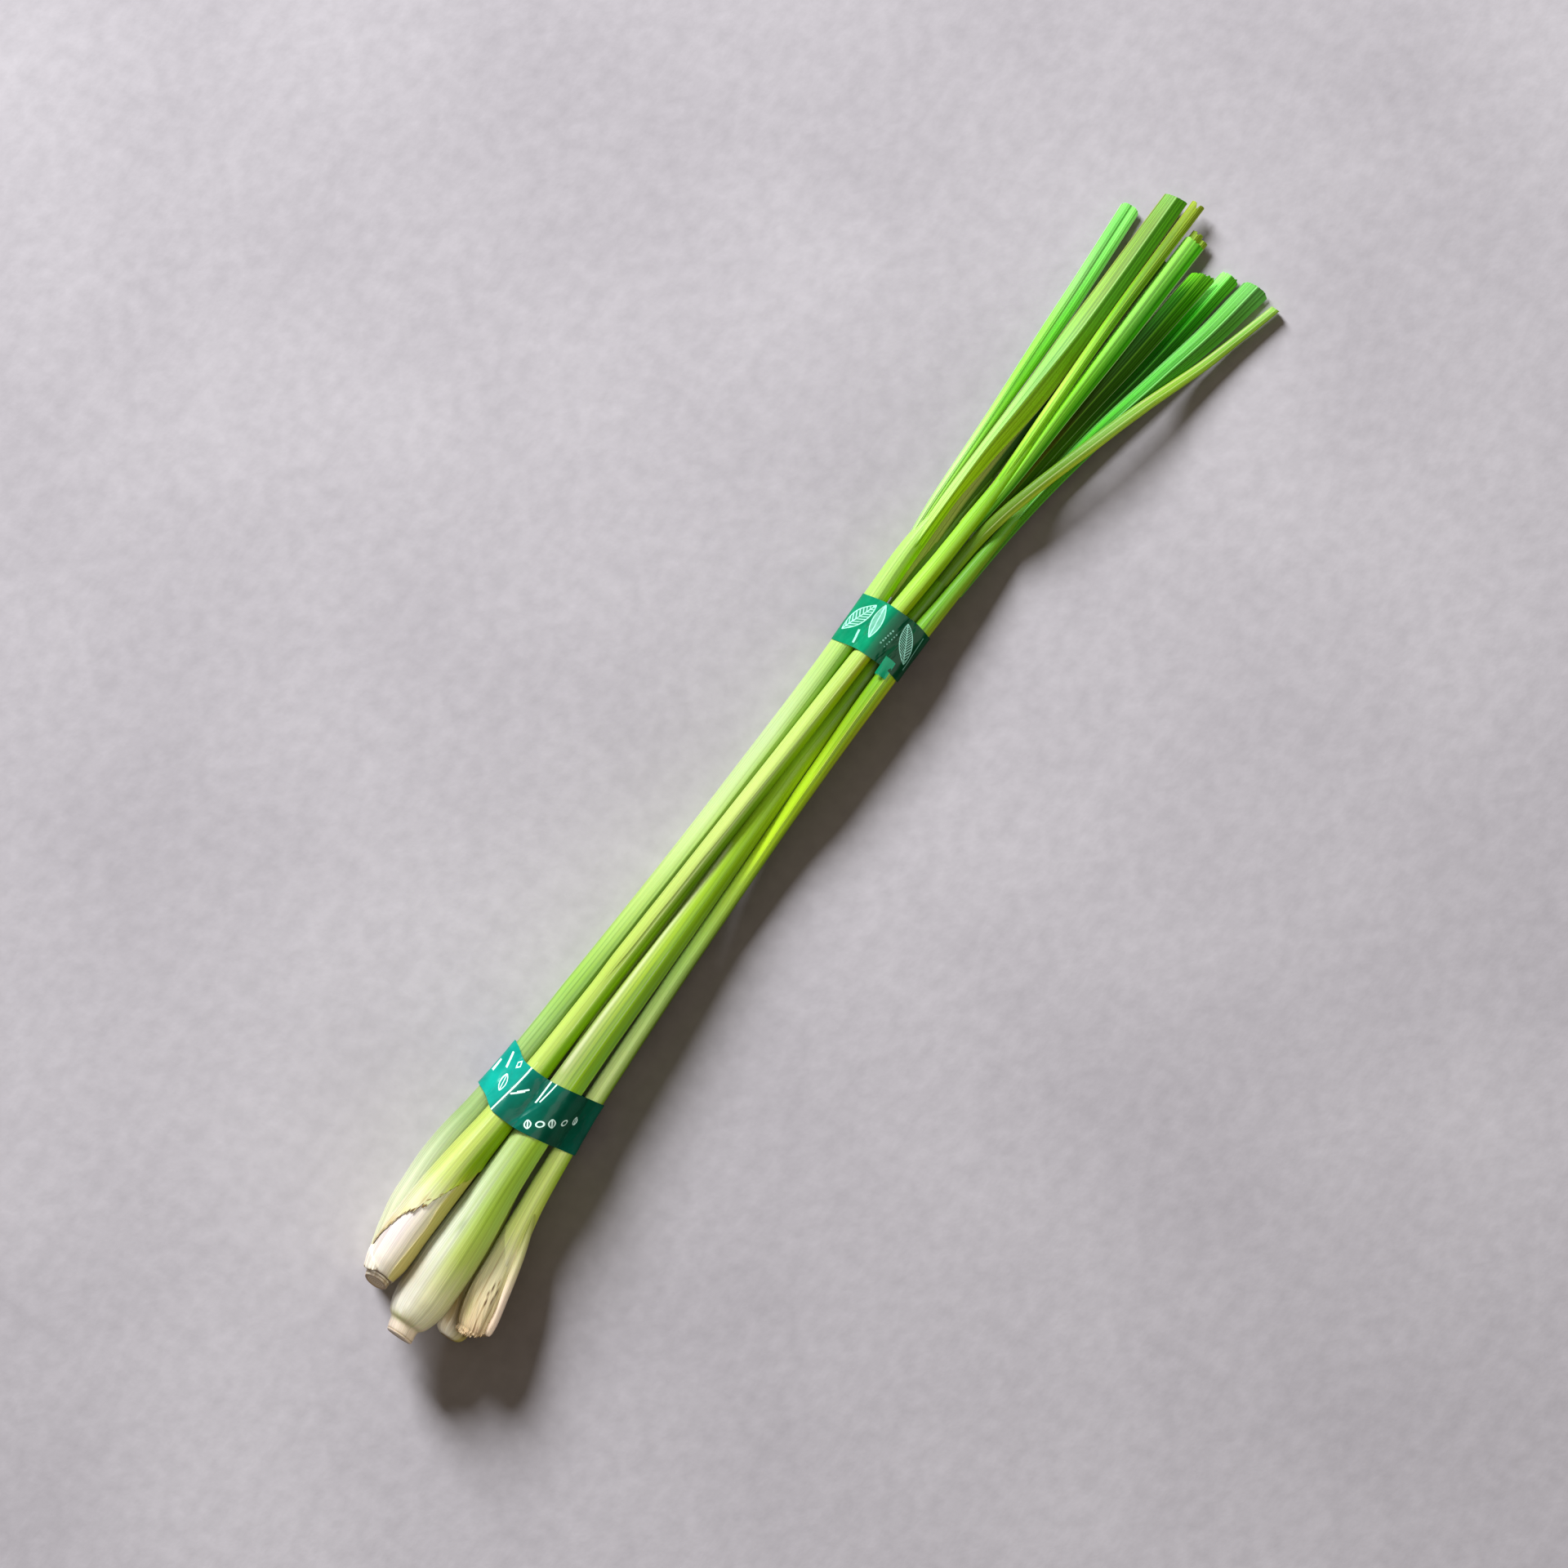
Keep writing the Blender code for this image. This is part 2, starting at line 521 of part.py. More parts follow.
def fuse(body, extras):
    """Join further solids into a body with one union, and remove them."""
    group = bpy.data.collections.new("extras_of_" + body.name)
    bpy.context.scene.collection.children.link(group)
    for extra in extras:
        bpy.context.scene.collection.objects.unlink(extra)
        group.objects.link(extra)
    union = body.modifiers.new("join", "BOOLEAN")
    union.operation = "UNION"
    union.operand_type = "COLLECTION"
    union.collection = group
    bpy.context.view_layer.update()
    evaluated = body.evaluated_get(bpy.context.evaluated_depsgraph_get())
    joined = bpy.data.meshes.new_from_object(evaluated)
    body.modifiers.remove(union)
    body.data = joined
    for extra in extras:
        bpy.data.objects.remove(extra)
    bpy.data.collections.remove(group)


def give_material(made, roughness):
    """One plain material of the piece's own colour."""
    material = bpy.data.materials.new(made.name)
    material.use_nodes = True
    shader = material.node_tree.nodes["Principled BSDF"]
    shader.inputs["Base Color"].default_value = (*COLOURS[made.name], 1.0)
    shader.inputs["Roughness"].default_value = roughness
    shader.inputs["Metallic"].default_value = 0.0
    made.data.materials.clear()
    made.data.materials.append(material)
    made.data.shade_smooth()
    made.data.set_sharp_from_angle(angle=math.radians(40))


def make_stalk(name):
    """One stalk: its stem with the sheaths, rods and blades that grow from it."""
    stem = STEMS[name]
    body = mesh_object(name, rod_mesh(stem, stem["butt"], STEM_SIDES))
    extras = [mesh_object("blade", blade_mesh(blade)) for blade in BLADES[name]]
    if name in RODS:
        extras.append(mesh_object("rod", rod_mesh(RODS[name], (0.0, 0.0), 10)))
    if name == "stalk_front":
        extras.append(mesh_object("sheath", torn_sheath_mesh(stem)))
    fuse(body, extras)
    give_material(body, 0.42)


def main():
    for item in list(bpy.data.objects):
        bpy.data.objects.remove(item)
    for name in STEMS:
        make_stalk(name)
    for name, tape in TAPES.items():
        band = mesh_object(name, tape_mesh(tape))
        if name == "band_upper":
            fuse(band, [mesh_object("flap", tape_flap_mesh(tape))])
        give_material(band, 0.3)


if __name__ == "__main__":
    main()
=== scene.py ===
"""Looks of a tied bundle of five trimmed lemongrass stalks.

Every length below is in millimetres until a mesh is made: "along" runs from the cut root ends to the
trimmed blade tips, "across" is positive to the bundle's left-hand side, "height" is above the surface.
A "turn" goes once round a stem, from its left-hand side over the top.
"""

import json
import math

import bpy
import bmesh
import numpy as np
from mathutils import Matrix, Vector

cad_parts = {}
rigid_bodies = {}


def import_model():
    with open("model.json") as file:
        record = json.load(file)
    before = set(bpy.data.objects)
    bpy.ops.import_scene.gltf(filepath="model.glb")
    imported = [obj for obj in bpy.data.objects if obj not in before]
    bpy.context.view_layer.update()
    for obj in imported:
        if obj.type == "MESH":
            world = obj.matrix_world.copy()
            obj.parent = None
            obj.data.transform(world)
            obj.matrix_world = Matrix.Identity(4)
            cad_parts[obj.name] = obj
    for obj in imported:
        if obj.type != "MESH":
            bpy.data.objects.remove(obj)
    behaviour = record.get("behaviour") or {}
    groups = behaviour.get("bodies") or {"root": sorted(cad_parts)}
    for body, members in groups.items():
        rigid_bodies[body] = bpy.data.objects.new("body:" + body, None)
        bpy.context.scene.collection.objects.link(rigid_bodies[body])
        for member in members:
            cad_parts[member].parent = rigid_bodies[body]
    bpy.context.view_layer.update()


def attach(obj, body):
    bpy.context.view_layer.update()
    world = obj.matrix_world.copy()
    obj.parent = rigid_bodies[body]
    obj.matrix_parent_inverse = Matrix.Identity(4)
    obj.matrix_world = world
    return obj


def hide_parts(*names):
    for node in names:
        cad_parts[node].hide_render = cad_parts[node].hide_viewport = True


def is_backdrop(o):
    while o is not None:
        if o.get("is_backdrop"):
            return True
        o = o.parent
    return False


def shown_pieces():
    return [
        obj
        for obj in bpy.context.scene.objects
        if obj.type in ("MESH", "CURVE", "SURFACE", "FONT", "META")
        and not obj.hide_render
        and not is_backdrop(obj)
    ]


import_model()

MM = 0.001
MIDDLE_ALONG = 196.5
MIDDLE_ACROSS = -2.2
UV_PER_MM = 0.01
FULL_TURN = 2 * math.pi


# ---------------------------------------------------------------- curves and places

def smooth(knots, places):
    """Every column of the knots at the places, on a smooth curve that doesn't overshoot."""
    table = np.array(knots, float)
    places = np.asarray(places, float)
    x, y = table[:, 0], table[:, 1:]
    step = np.diff(x)[:, None]
    rise = np.diff(y, axis=0) / step
    slope = np.zeros_like(y)
    slope[0], slope[-1] = rise[0], rise[-1]
    if len(x) > 2:
        near, far = 2 * step[1:] + step[:-1], step[1:] + 2 * step[:-1]
        both = rise[:-1] * rise[1:]
        with np.errstate(divide="ignore", invalid="ignore"):
            bent = (near + far) / (near / rise[:-1] + far / rise[1:])
        slope[1:-1] = np.where(both > 0, bent, 0.0)
    index = np.clip(np.searchsorted(x, places, "right") - 1, 0, len(x) - 2)
    width = step[index, 0]
    t = np.clip((places - x[index]) / width, 0, 1)[..., None]
    width = width[..., None]
    return ((2 * t**3 - 3 * t**2 + 1) * y[index] + (t**3 - 2 * t**2 + t) * width * slope[index]
            + (3 * t**2 - 2 * t**3) * y[index + 1] + (t**3 - t**2) * width * slope[index + 1])


def to_world(along, across, height):
    """Points of the bundle in the frame, in metres, as rows of three numbers."""
    along, across, height = np.broadcast_arrays(along, across, height)
    return np.stack([(along - MIDDLE_ALONG) * MM, (across - MIDDLE_ACROSS) * MM, height * MM], axis=-1)


def ease(low, high, value):
    """0 below low, 1 above high, and smooth between."""
    t = np.clip((value - low) / (high - low), 0, 1)
    return t * t * (3 - 2 * t)


def wobble(seed, count, value):
    """Sum of a few seeded waves, about -1 to 1, for edges and surfaces that aren't quite even."""
    draw = np.random.default_rng(seed)
    total = np.zeros_like(np.asarray(value, float))
    for wave in range(1, count + 1):
        total += np.sin(value * wave * draw.uniform(0.8, 1.25) + draw.uniform(0, 6.28)) / wave**0.7
    return total / 2.0


# ---------------------------------------------------------------- shapes of the stalks

STEMS = {
    "stalk_left": {
        "route": ((6.9, 24.6, 5.1), (13, 25.4, 5.3), (20, 26.4, 5.5), (30, 27.4, 5.75), (42, 27.4, 5.8),
                  (50, 27.1, 5.8), (64, 25.4, 5.65), (75, 24.2, 5.5), (90, 22.9, 5.3), (120, 20.3, 4.7),
                  (180, 15.9, 5.0), (242, 13.0, 6.2), (262, 12.9, 6.0), (296, 11.0, 5.0)),
        "girth": ((6.9, 3.25, 3.25), (7.2, 3.5, 3.5), (7.5, 3.7, 3.7), (13, 4.6, 4.6), (20, 5.3, 5.3),
                  (30, 5.7, 5.7), (42, 5.8, 5.8), (50, 5.5, 5.5), (64, 4.8, 4.8), (75, 4.5, 4.5),
                  (100, 4.2, 4.2), (120, 4.0, 4.0), (160, 3.8, 3.8), (200, 3.7, 3.7), (242, 3.5, 3.6),
                  (262, 3.1, 3.1), (296, 1.0, 1.0)),
        "lean": (0.6, 0.0),
    },
    "stalk_front": {
        "route": ((4.9, 22.6, 16.4), (7, 22.9, 16.6), (12, 23.3, 17.1), (20, 23.3, 17.5), (30, 22.8, 17.6),
                  (50, 21.0, 15.5), (64, 19.4, 13.8), (82, 17.9, 12.2), (120, 15.3, 11.1),
                  (160, 12.3, 11.1), (200, 9.3, 10.5), (242, 6.3, 8.9), (262, 4.3, 8.2), (285, 2.4, 7.6),
                  (312, 0.6, 6.6)),
        "girth": ((4.9, 3.3, 3.3), (5.1, 3.65, 3.65), (5.6, 3.75, 3.75), (5.85, 3.55, 3.55),
                  (6.1, 3.85, 3.85), (6.6, 3.95, 3.95), (6.85, 3.75, 3.75), (7.1, 4.25, 4.25),
                  (9, 5.0, 5.0), (13, 5.8, 5.8), (20, 6.1, 6.1), (30, 6.0, 6.0), (50, 5.2, 5.2),
                  (64, 4.5, 4.5), (82, 3.75, 3.75), (100, 3.4, 3.4), (140, 3.0, 3.0), (200, 2.9, 2.9),
                  (242, 2.6, 2.6), (262, 2.6, 2.5), (285, 2.4, 1.9), (312, 1.0, 0.9)),
        "lean": (1.3, 0.0),
    },
    "stalk_centre": {
        "route": ((-4.6, 8.2, 12.8), (0, 8.9, 13.0), (10, 8.7, 13.5), (30, 8.6, 14.3), (50, 8.8, 14.3),
                  (75, 8.4, 13.8), (100, 7.8, 12.5), (120, 7.0, 11.3), (160, 5.6, 8.7), (185, 4.9, 7.5),
                  (200, 4.4, 6.7), (215, 3.3, 5.7), (242, 1.6, 4.0), (262, -0.3, 4.1), (276, -1.2, 4.4)),
        "girth": ((-4.6, 3.75, 3.75), (-4.35, 4.1, 4.1), (-4.05, 4.25, 4.25), (-3.8, 4.15, 4.15),
                  (-3.5, 4.3, 4.3), (-1.2, 4.5, 4.5), (-0.3, 4.85, 4.85), (0.3, 5.6, 5.6), (2, 6.6, 6.6),
                  (5, 7.6, 7.6), (10, 8.3, 8.2), (20, 8.3, 8.2), (30, 7.8, 7.8), (40, 7.0, 7.0),
                  (50, 6.2, 6.2), (64, 5.5, 5.5), (82, 5.0, 5.0), (120, 4.4, 4.4), (160, 3.65, 3.65),
                  (185, 3.2, 3.2), (200, 3.0, 3.0), (215, 2.7, 2.7), (242, 2.5, 2.5), (262, 2.1, 2.1),
                  (276, 1.2, 1.2)),
        "lean": (0.5, 0.0),
    },
    "stalk_right": {
        "route": ((8.6, -8.4, 11.8), (13, -7.4, 11.5), (18, -6.6, 11.2), (30, -4.9, 9.4), (40, -3.4, 7.8),
                  (50, -2.4, 6.4), (64, -1.6, 5.4), (82, -0.7, 5.0), (120, -0.5, 5.3), (160, -0.8, 6.2),
                  (180, -1.0, 6.9), (200, -1.4, 8.5), (218, -1.8, 8.6), (242, -2.9, 7.8), (262, -4.6, 6.7),
                  (298, -8.2, 4.0)),
        "girth": ((8.6, 4.4, 3.7), (9.2, 4.8, 4.0), (13, 5.5, 4.5), (18, 5.9, 4.8), (30, 4.9, 4.4),
                  (40, 4.05, 3.95), (50, 3.4, 3.4), (64, 3.0, 3.0), (82, 2.7, 2.7), (120, 2.5, 2.5),
                  (170, 2.35, 2.35), (200, 2.5, 2.5), (230, 2.9, 2.9), (262, 2.4, 2.4), (298, 1.4, 1.1)),
        "lean": (0.9, -1.0),
    },
    "stalk_under": {
        "route": ((2.8, -3.5, 4.0), (8, -3.2, 3.9), (17, -0.4, 3.8), (30, 2.8, 3.9), (50, 6.4, 4.2),
                  (75, 9.4, 4.85), (120, 10.1, 4.1), (160, 10.0, 3.5), (185, 9.2, 3.0), (200, 8.3, 2.7),
                  (215, 7.8, 2.8), (242, 7.4, 3.1), (270, 6.6, 2.9), (300, 5.0, 2.4)),
        "girth": ((2.8, 2.4, 1.8), (3.2, 3.4, 2.6), (4.5, 4.6, 3.4), (7, 5.2, 3.9), (17, 4.6, 3.8),
                  (30, 4.0, 3.6), (60, 3.6, 3.5), (100, 3.1, 3.1), (160, 2.6, 2.6), (200, 2.25, 2.25),
                  (242, 2.15, 2.15), (270, 2.0, 1.7), (300, 1.2, 0.8)),
        "lean": (0.3, 0.0),
    },
}

# The thin rolled blade that crosses to the right, and the loose sheath tongue of the right stalk.
RODS = {
    "rolled_blade": {
        "route": ((252, 0.3, 4.2), (266, -0.6, 4.8), (278, -1.7, 5.9), (290, -4.0, 7.9), (300, -6.8, 8.7),
                  (320, -13.5, 8.2), (340, -20.6, 6.6), (350, -24.6, 4.7), (360, -28.5, 3.2),
                  (372, -32.4, 2.3), (384.8, -36.4, 1.9)),
        "girth": ((252, 1.4, 1.2), (266, 1.8, 1.4), (290, 2.0, 1.5), (320, 2.1, 1.5), (350, 1.8, 1.4),
                  (384.8, 1.35, 1.2)),
        "lean": (0.2, 0.4),
    },
    "loose_tongue": {
        "route": ((9.9, -12.5, 12.8), (14, -12.0, 12.5), (22, -10.4, 11.8), (34, -7.9, 10.3),
                  (48, -4.0, 7.8)),
        "girth": ((9.9, 0.8, 1.2), (10.3, 1.2, 1.8), (11.5, 1.5, 2.3), (14, 1.65, 2.7), (22, 1.7, 2.9),
                  (34, 1.5, 2.7), (48, 1.0, 1.8)),
        "lean": (0.0, 0.0),
    },
}


def stem_skin(stem, along, turn, proud=0.0):
    """Places on a stem's skin, proud of it by some millimetres."""
    across, height = np.moveaxis(smooth(stem["route"], along), -1, 0)
    wide, tall = np.moveaxis(smooth(stem["girth"], along), -1, 0)
    angle = 2 * math.pi * np.asarray(turn, float)
    return to_world(along, across + (wide + proud) * np.cos(angle), height + (tall + proud) * np.sin(angle))


# ---------------------------------------------------------------- nodes

# How fast the lumps of a stem, the ripples of a blade's margins and the tears of its cut end change with
# their place, how far apart in the noise a blade's two margins are, the share of a blade's half that its
# groove takes, and the width in metres of a seam that is closed on a stem and on a shell.
LUMP_STRETCH = 9.0
RIPPLE_STRETCH = 7.0
RIPPLE_SIDES = 5.0
TEAR_STRETCH = 5.5
GROOVE_HALF = 0.22
SEAM = 2e-6
SHELL_SEAM = 1e-7

class Wiring:
    """Nodes and links while they are being wired."""

    def __init__(self, nodes, links):
        self.nodes, self.links = nodes, links

    def feed(self, socket, value):
        """Link an input to a socket, or set it to a value."""
        if isinstance(value, bpy.types.NodeSocket):
            self.links.new(value, socket)
        else:
            socket.default_value = value

    def node(self, kind, inputs=None, **settings):
        """A new node, with its settings made and its inputs linked or set."""
        made = self.nodes.new(kind)
        for key, value in settings.items():
            setattr(made, key, value)
        for key, value in (inputs or {}).items():
            self.feed(made.inputs[key], value)
        return made

    def math(self, operation, *values):
        """Result of one sum on fields or numbers."""
        return self.node("ShaderNodeMath", dict(enumerate(values)), operation=operation).outputs[0]

    def plus(self, first, second):
        return self.math("ADD", first, second)

    def minus(self, first, second):
        return self.math("SUBTRACT", first, second)

    def times(self, first, *others):
        for other in others:
            first = self.math("MULTIPLY", first, other)
        return first

    def divided(self, first, second):
        return self.math("DIVIDE", first, second)

    def swing(self, noise, amount):
        """Noise as a push either way from nothing, over a range of this amount."""
        return self.times(self.minus(noise, 0.5), amount)

    def bell(self, value):
        """1 where a value is nothing, falling smoothly to 0 on both sides."""
        return self.math("EXPONENT", self.times(self.times(value, value), -1.0))

    def vector(self, x, y, z=0.0):
        """Three numbers as a vector."""
        return self.node("ShaderNodeCombineXYZ", {0: x, 1: y, 2: z}).outputs[0]

    def parts(self, vector):
        """The three numbers of a vector."""
        return self.node("ShaderNodeSeparateXYZ", {0: vector}).outputs


class Tree(Wiring):
    """A Geometry Nodes tree."""

    def __init__(self, name, sockets):
        self.group = bpy.data.node_groups.new(name, "GeometryNodeTree")
        super().__init__(self.group.nodes, self.group.links)
        self.ids = {}
        face = self.group.interface
        face.new_socket("Geometry", in_out="INPUT", socket_type="NodeSocketGeometry")
        for label, kind, value in sockets:
            socket = face.new_socket(label, in_out="INPUT", socket_type=kind)
            if value is not None:
                socket.default_value = value
            self.ids[label] = socket.identifier
        face.new_socket("Geometry", in_out="OUTPUT", socket_type="NodeSocketGeometry")
        self.entry = self.nodes.new("NodeGroupInput").outputs
        self.out = self.nodes.new("NodeGroupOutput").inputs

    def read(self, name, kind="FLOAT"):
        """A named attribute as a field."""
        return self.node("GeometryNodeInputNamedAttribute", {"Name": name}, data_type=kind).outputs[0]

    def finish(self, geometry):
        """Close the tree: real geometry, with the material of its input."""
        real = self.node("GeometryNodeRealizeInstances", {0: geometry}).outputs[0]
        final = self.node("GeometryNodeSetMaterial", {"Geometry": real, "Material": self.entry["Material"]})
        self.links.new(final.outputs[0], self.out[0])


def swept_rows(tree):
    """Rows of points along the input line, each column marked with its share of the way over."""
    path = tree.node("GeometryNodeMeshToCurve", {"Mesh": tree.entry["Geometry"]}).outputs[0]
    line = tree.node("GeometryNodeCurvePrimitiveLine", {"Start": (0, 0, 0), "End": (0, 0.0001, 0)})
    count = tree.plus(tree.entry["Columns"], 1.0)
    spaced = tree.node("GeometryNodeResampleCurve", {"Curve": line.outputs[0], "Count": count})
    share = tree.node("GeometryNodeSplineParameter").outputs["Factor"]
    marked = tree.node("GeometryNodeStoreNamedAttribute",
                       {"Geometry": spaced.outputs[0], "Name": "share", "Value": share},
                       data_type="FLOAT", domain="POINT")
    return tree.node("GeometryNodeCurveToMesh",
                     {"Curve": path, "Profile Curve": marked.outputs[0]}).outputs[0]


def placed_skin(tree, rows, along, across, height):
    """The rows moved to their place, with a UV map of the share over and the way along."""
    core = tree.parts(tree.read("core", "FLOAT_VECTOR"))
    point = tree.vector(*(tree.plus(middle, off) for middle, off in zip(core, (along, across, height))))
    moved = tree.node("GeometryNodeSetPosition", {"Geometry": rows, "Position": point}).outputs[0]
    skin = tree.vector(tree.read("share"), tree.read("way"))
    return tree.node("GeometryNodeStoreNamedAttribute", {"Geometry": moved, "Name": "skin", "Value": skin},
                     data_type="FLOAT2", domain="CORNER").outputs[0]


def slow_noise(tree, place, **inputs):
    """Noise in four dimensions, the fourth being the tree's seed."""
    return tree.node("ShaderNodeTexNoise", {"Vector": place, "W": tree.entry["Seed"], **inputs},
                     noise_dimensions="4D").outputs[0]


def round_tree():
    """Closed round body: each row of the input line becomes a ring of its own width and height."""
    tree = Tree("round_body", (("Columns", "NodeSocketInt", 64), ("Lumps", "NodeSocketFloat", 0.0),
                               ("Seed", "NodeSocketFloat", 0.0), ("Material", "NodeSocketMaterial", None)))
    rows = swept_rows(tree)
    angle = tree.times(tree.read("share"), FULL_TURN)
    side, lift = tree.math("COSINE", angle), tree.math("SINE", angle)
    reach = tree.parts(tree.read("reach", "FLOAT_VECTOR"))
    lean = tree.parts(tree.read("lean", "FLOAT_VECTOR"))
    noise = slow_noise(tree, tree.vector(side, lift, tree.times(tree.read("way"), LUMP_STRETCH)), Scale=1.3)
    swell = tree.plus(tree.swing(noise, tree.entry["Lumps"]), 1.0)
    along = tree.plus(tree.times(lean[0], lift), tree.times(lean[1], side))
    across, height = tree.times(reach[0], side, swell), tree.times(reach[1], lift, swell)
    skin = placed_skin(tree, rows, along, across, height)
    tree.finish(tree.node("GeometryNodeMergeByDistance", {"Geometry": skin, "Distance": SEAM}).outputs[0])
    return tree


def blade_tree():
    """Folded leaf blade: each row of the input line becomes a section that falls off its highest line.

    Keel and Groove set the section, Ribs and Rib height its veins, Ripple the waves of its margins, and
    Ragged, Rounded, Notch and Slant how its far end is cut. Lengths are in metres."""
    sizes = (("Keel", 1.0), ("Ribs", 9.0), ("Rib height", 4e-5), ("Ragged", 0.0008), ("Rounded", 0.001),
             ("Notch", 0.0), ("Slant", 0.0), ("Ripple", 0.0002), ("Groove", 0.0), ("Seed", 0.0))
    tree = Tree("leaf_blade", (("Columns", "NodeSocketInt", 40),
                               *((label, "NodeSocketFloat", value) for label, value in sizes),
                               ("Material", "NodeSocketMaterial", None)))
    size = tree.entry
    rows = swept_rows(tree)
    over = tree.minus(tree.times(tree.read("share"), 2.0), 1.0)
    out = tree.math("ABSOLUTE", over)
    squared = tree.times(out, out)
    left_half, right_half, depth = tree.parts(tree.read("spread", "FLOAT_VECTOR"))
    right = tree.math("GREATER_THAN", over, 0.0)
    half = tree.plus(tree.times(right_half, right), tree.times(left_half, tree.minus(1.0, right)))
    across = tree.times(over, half, -1.0)
    middle = tree.bell(tree.divided(over, GROOVE_HALF))
    fall = tree.plus(tree.times(depth, tree.math("POWER", out, size["Keel"])),
                     tree.times(middle, size["Groove"]))
    ribs = tree.times(tree.math("COSINE", tree.times(over, size["Ribs"], math.pi)), size["Rib height"])
    place = tree.vector(tree.times(right, RIPPLE_SIDES), tree.times(tree.read("way"), RIPPLE_STRETCH))
    waves = slow_noise(tree, place, Scale=1.0)
    sway = tree.times(tree.swing(waves, size["Ripple"]), squared)
    height = tree.minus(tree.plus(ribs, sway), fall)
    tear = slow_noise(tree, tree.vector(tree.times(over, TEAR_STRETCH), 0.0), Scale=1.0, Detail=3.0)
    trim = tree.swing(tear, size["Ragged"])
    trim = tree.minus(trim, tree.times(tree.times(squared, squared), size["Rounded"]))
    trim = tree.minus(trim, tree.times(middle, size["Notch"]))
    trim = tree.plus(trim, tree.times(over, size["Slant"]))
    tree.finish(placed_skin(tree, rows, tree.times(trim, tree.read("tip")), across, height))
    return tree


def line_object(name, points, **columns):
    """Line of joined points in the frame, with named numbers on each point."""
    data = bpy.data.meshes.new(name)
    data.from_pydata([tuple(p) for p in points], [(i, i + 1) for i in range(len(points) - 1)], [])
    core = data.attributes.new("core", "FLOAT_VECTOR", "POINT")
    core.data.foreach_set("vector", np.asarray(points, np.float32).ravel())
    for key, values in columns.items():
        values = np.asarray(values, np.float32)
        kind, field = ("FLOAT_VECTOR", "vector") if values.ndim == 2 else ("FLOAT", "value")
        data.attributes.new(key, kind, "POINT").data.foreach_set(field, values.ravel())
    return add_to_scene(name, data)


def outward(data):
    """Turn a closed mesh's faces to point outwards."""
    mesh = bmesh.new()
    mesh.from_mesh(data)
    if mesh.calc_volume(signed=True) < 0:
        bmesh.ops.reverse_faces(mesh, faces=mesh.faces[:])
        mesh.to_mesh(data)
    mesh.free()


def add_to_scene(name, data):
    """An object for a mesh, a light or a camera, in the scene."""
    made = bpy.data.objects.new(name, data)
    bpy.context.scene.collection.objects.link(made)
    return made


def grown(line, tree, material, thickness=0.0, **sizes):
    """The plain mesh that a tree grows on a line, with a wall's thickness where it has one."""
    modifier = line.modifiers.new("grow", "NODES")
    modifier.node_group = tree.group
    for label, value in dict(sizes, Material=material).items():
        modifier[tree.ids[label.replace("_", " ")]] = value
    if thickness:
        wall = line.modifiers.new("wall", "SOLIDIFY")
        wall.thickness = thickness * MM
        wall.offset = 0.0
        wall.use_even_offset = True
    bpy.context.view_layer.update()
    data = bpy.data.meshes.new_from_object(line.evaluated_get(bpy.context.evaluated_depsgraph_get()))
    line.modifiers.clear()
    line.data = data
    outward(data)
    data.shade_smooth()
    if thickness:
        data.set_sharp_from_angle(angle=math.radians(BLADE_CREASE))
    return line


# Rings of a round piece: the first step along it, its growth from ring to ring and its limit, the shares
# of the radius that its cut face and its far tip have rings at, and the growth rings that stand on the face.
FIRST_STEP, STEP_GROWTH, LONGEST_STEP = 0.14, 1.06, 1.5
FACE_RINGS = (0.0, 0.12, 0.25, 0.38, 0.5, 0.62, 0.74, 0.85, 0.94)
TIP_RINGS = (0.7, 0.35, 0.0)
GROWTH_RING, GROWTH_RINGS = 0.06, 26.0

# How far from the cut face a stem's slant fades, the length of a blade's rows and of its trimmed end.
LEAN_REACH = 12.0
BLADE_STEP = 1.4
TRIM_REACH = 9.0

# Angles in degrees past which an edge is sharp, on a blade and on a shell.
BLADE_CREASE, SHELL_CREASE = 50, 55


def butt_rows(start, end):
    """Places of a stem's rings: close together at the cut end, further apart along the stem."""
    places, step = [start], FIRST_STEP
    while places[-1] + 1.5 * step < end:
        places.append(places[-1] + step)
        step = min(step * STEP_GROWTH, LONGEST_STEP)
    return np.array(places + [end])


def round_piece(name, stem, material, columns=64, lumps=0.02, seed=0.0, hollow=0.25):
    """A stem or a rod with its cut end, a little hollowed and ringed, grown on its route."""
    start, end = stem["route"][0][0], stem["route"][-1][0]
    places = butt_rows(start, end)
    face, tip = len(FACE_RINGS), len(TIP_RINGS)
    along = np.concatenate([np.full(face, start), places, np.full(tip, end)])
    ring = np.concatenate([FACE_RINGS, np.ones(len(places)), TIP_RINGS])
    cut = np.concatenate([np.ones(face), np.zeros(len(places) + tip)])
    across, height = np.moveaxis(smooth(stem["route"], along), -1, 0)
    girth = smooth(stem["girth"], along) * ring[:, None]
    dish = hollow * cut * (1 - ring**4) + GROWTH_RING * np.sin(ring * GROWTH_RINGS) * cut
    fade = np.clip(1.0 - (along - start) / LEAN_REACH, 0, 1) * np.where(cut > 0, ring, 1.0)
    lean = np.outer(fade, (*stem["lean"], 0.0))
    line = line_object(
        name, to_world(along + dish, across, height),
        reach=np.column_stack([girth, np.zeros(len(girth))]) * MM, lean=lean * MM,
        way=along * UV_PER_MM, cut=cut, ring=ring)
    return grown(line, ROUND, material, Columns=columns, Lumps=lumps, Seed=seed)


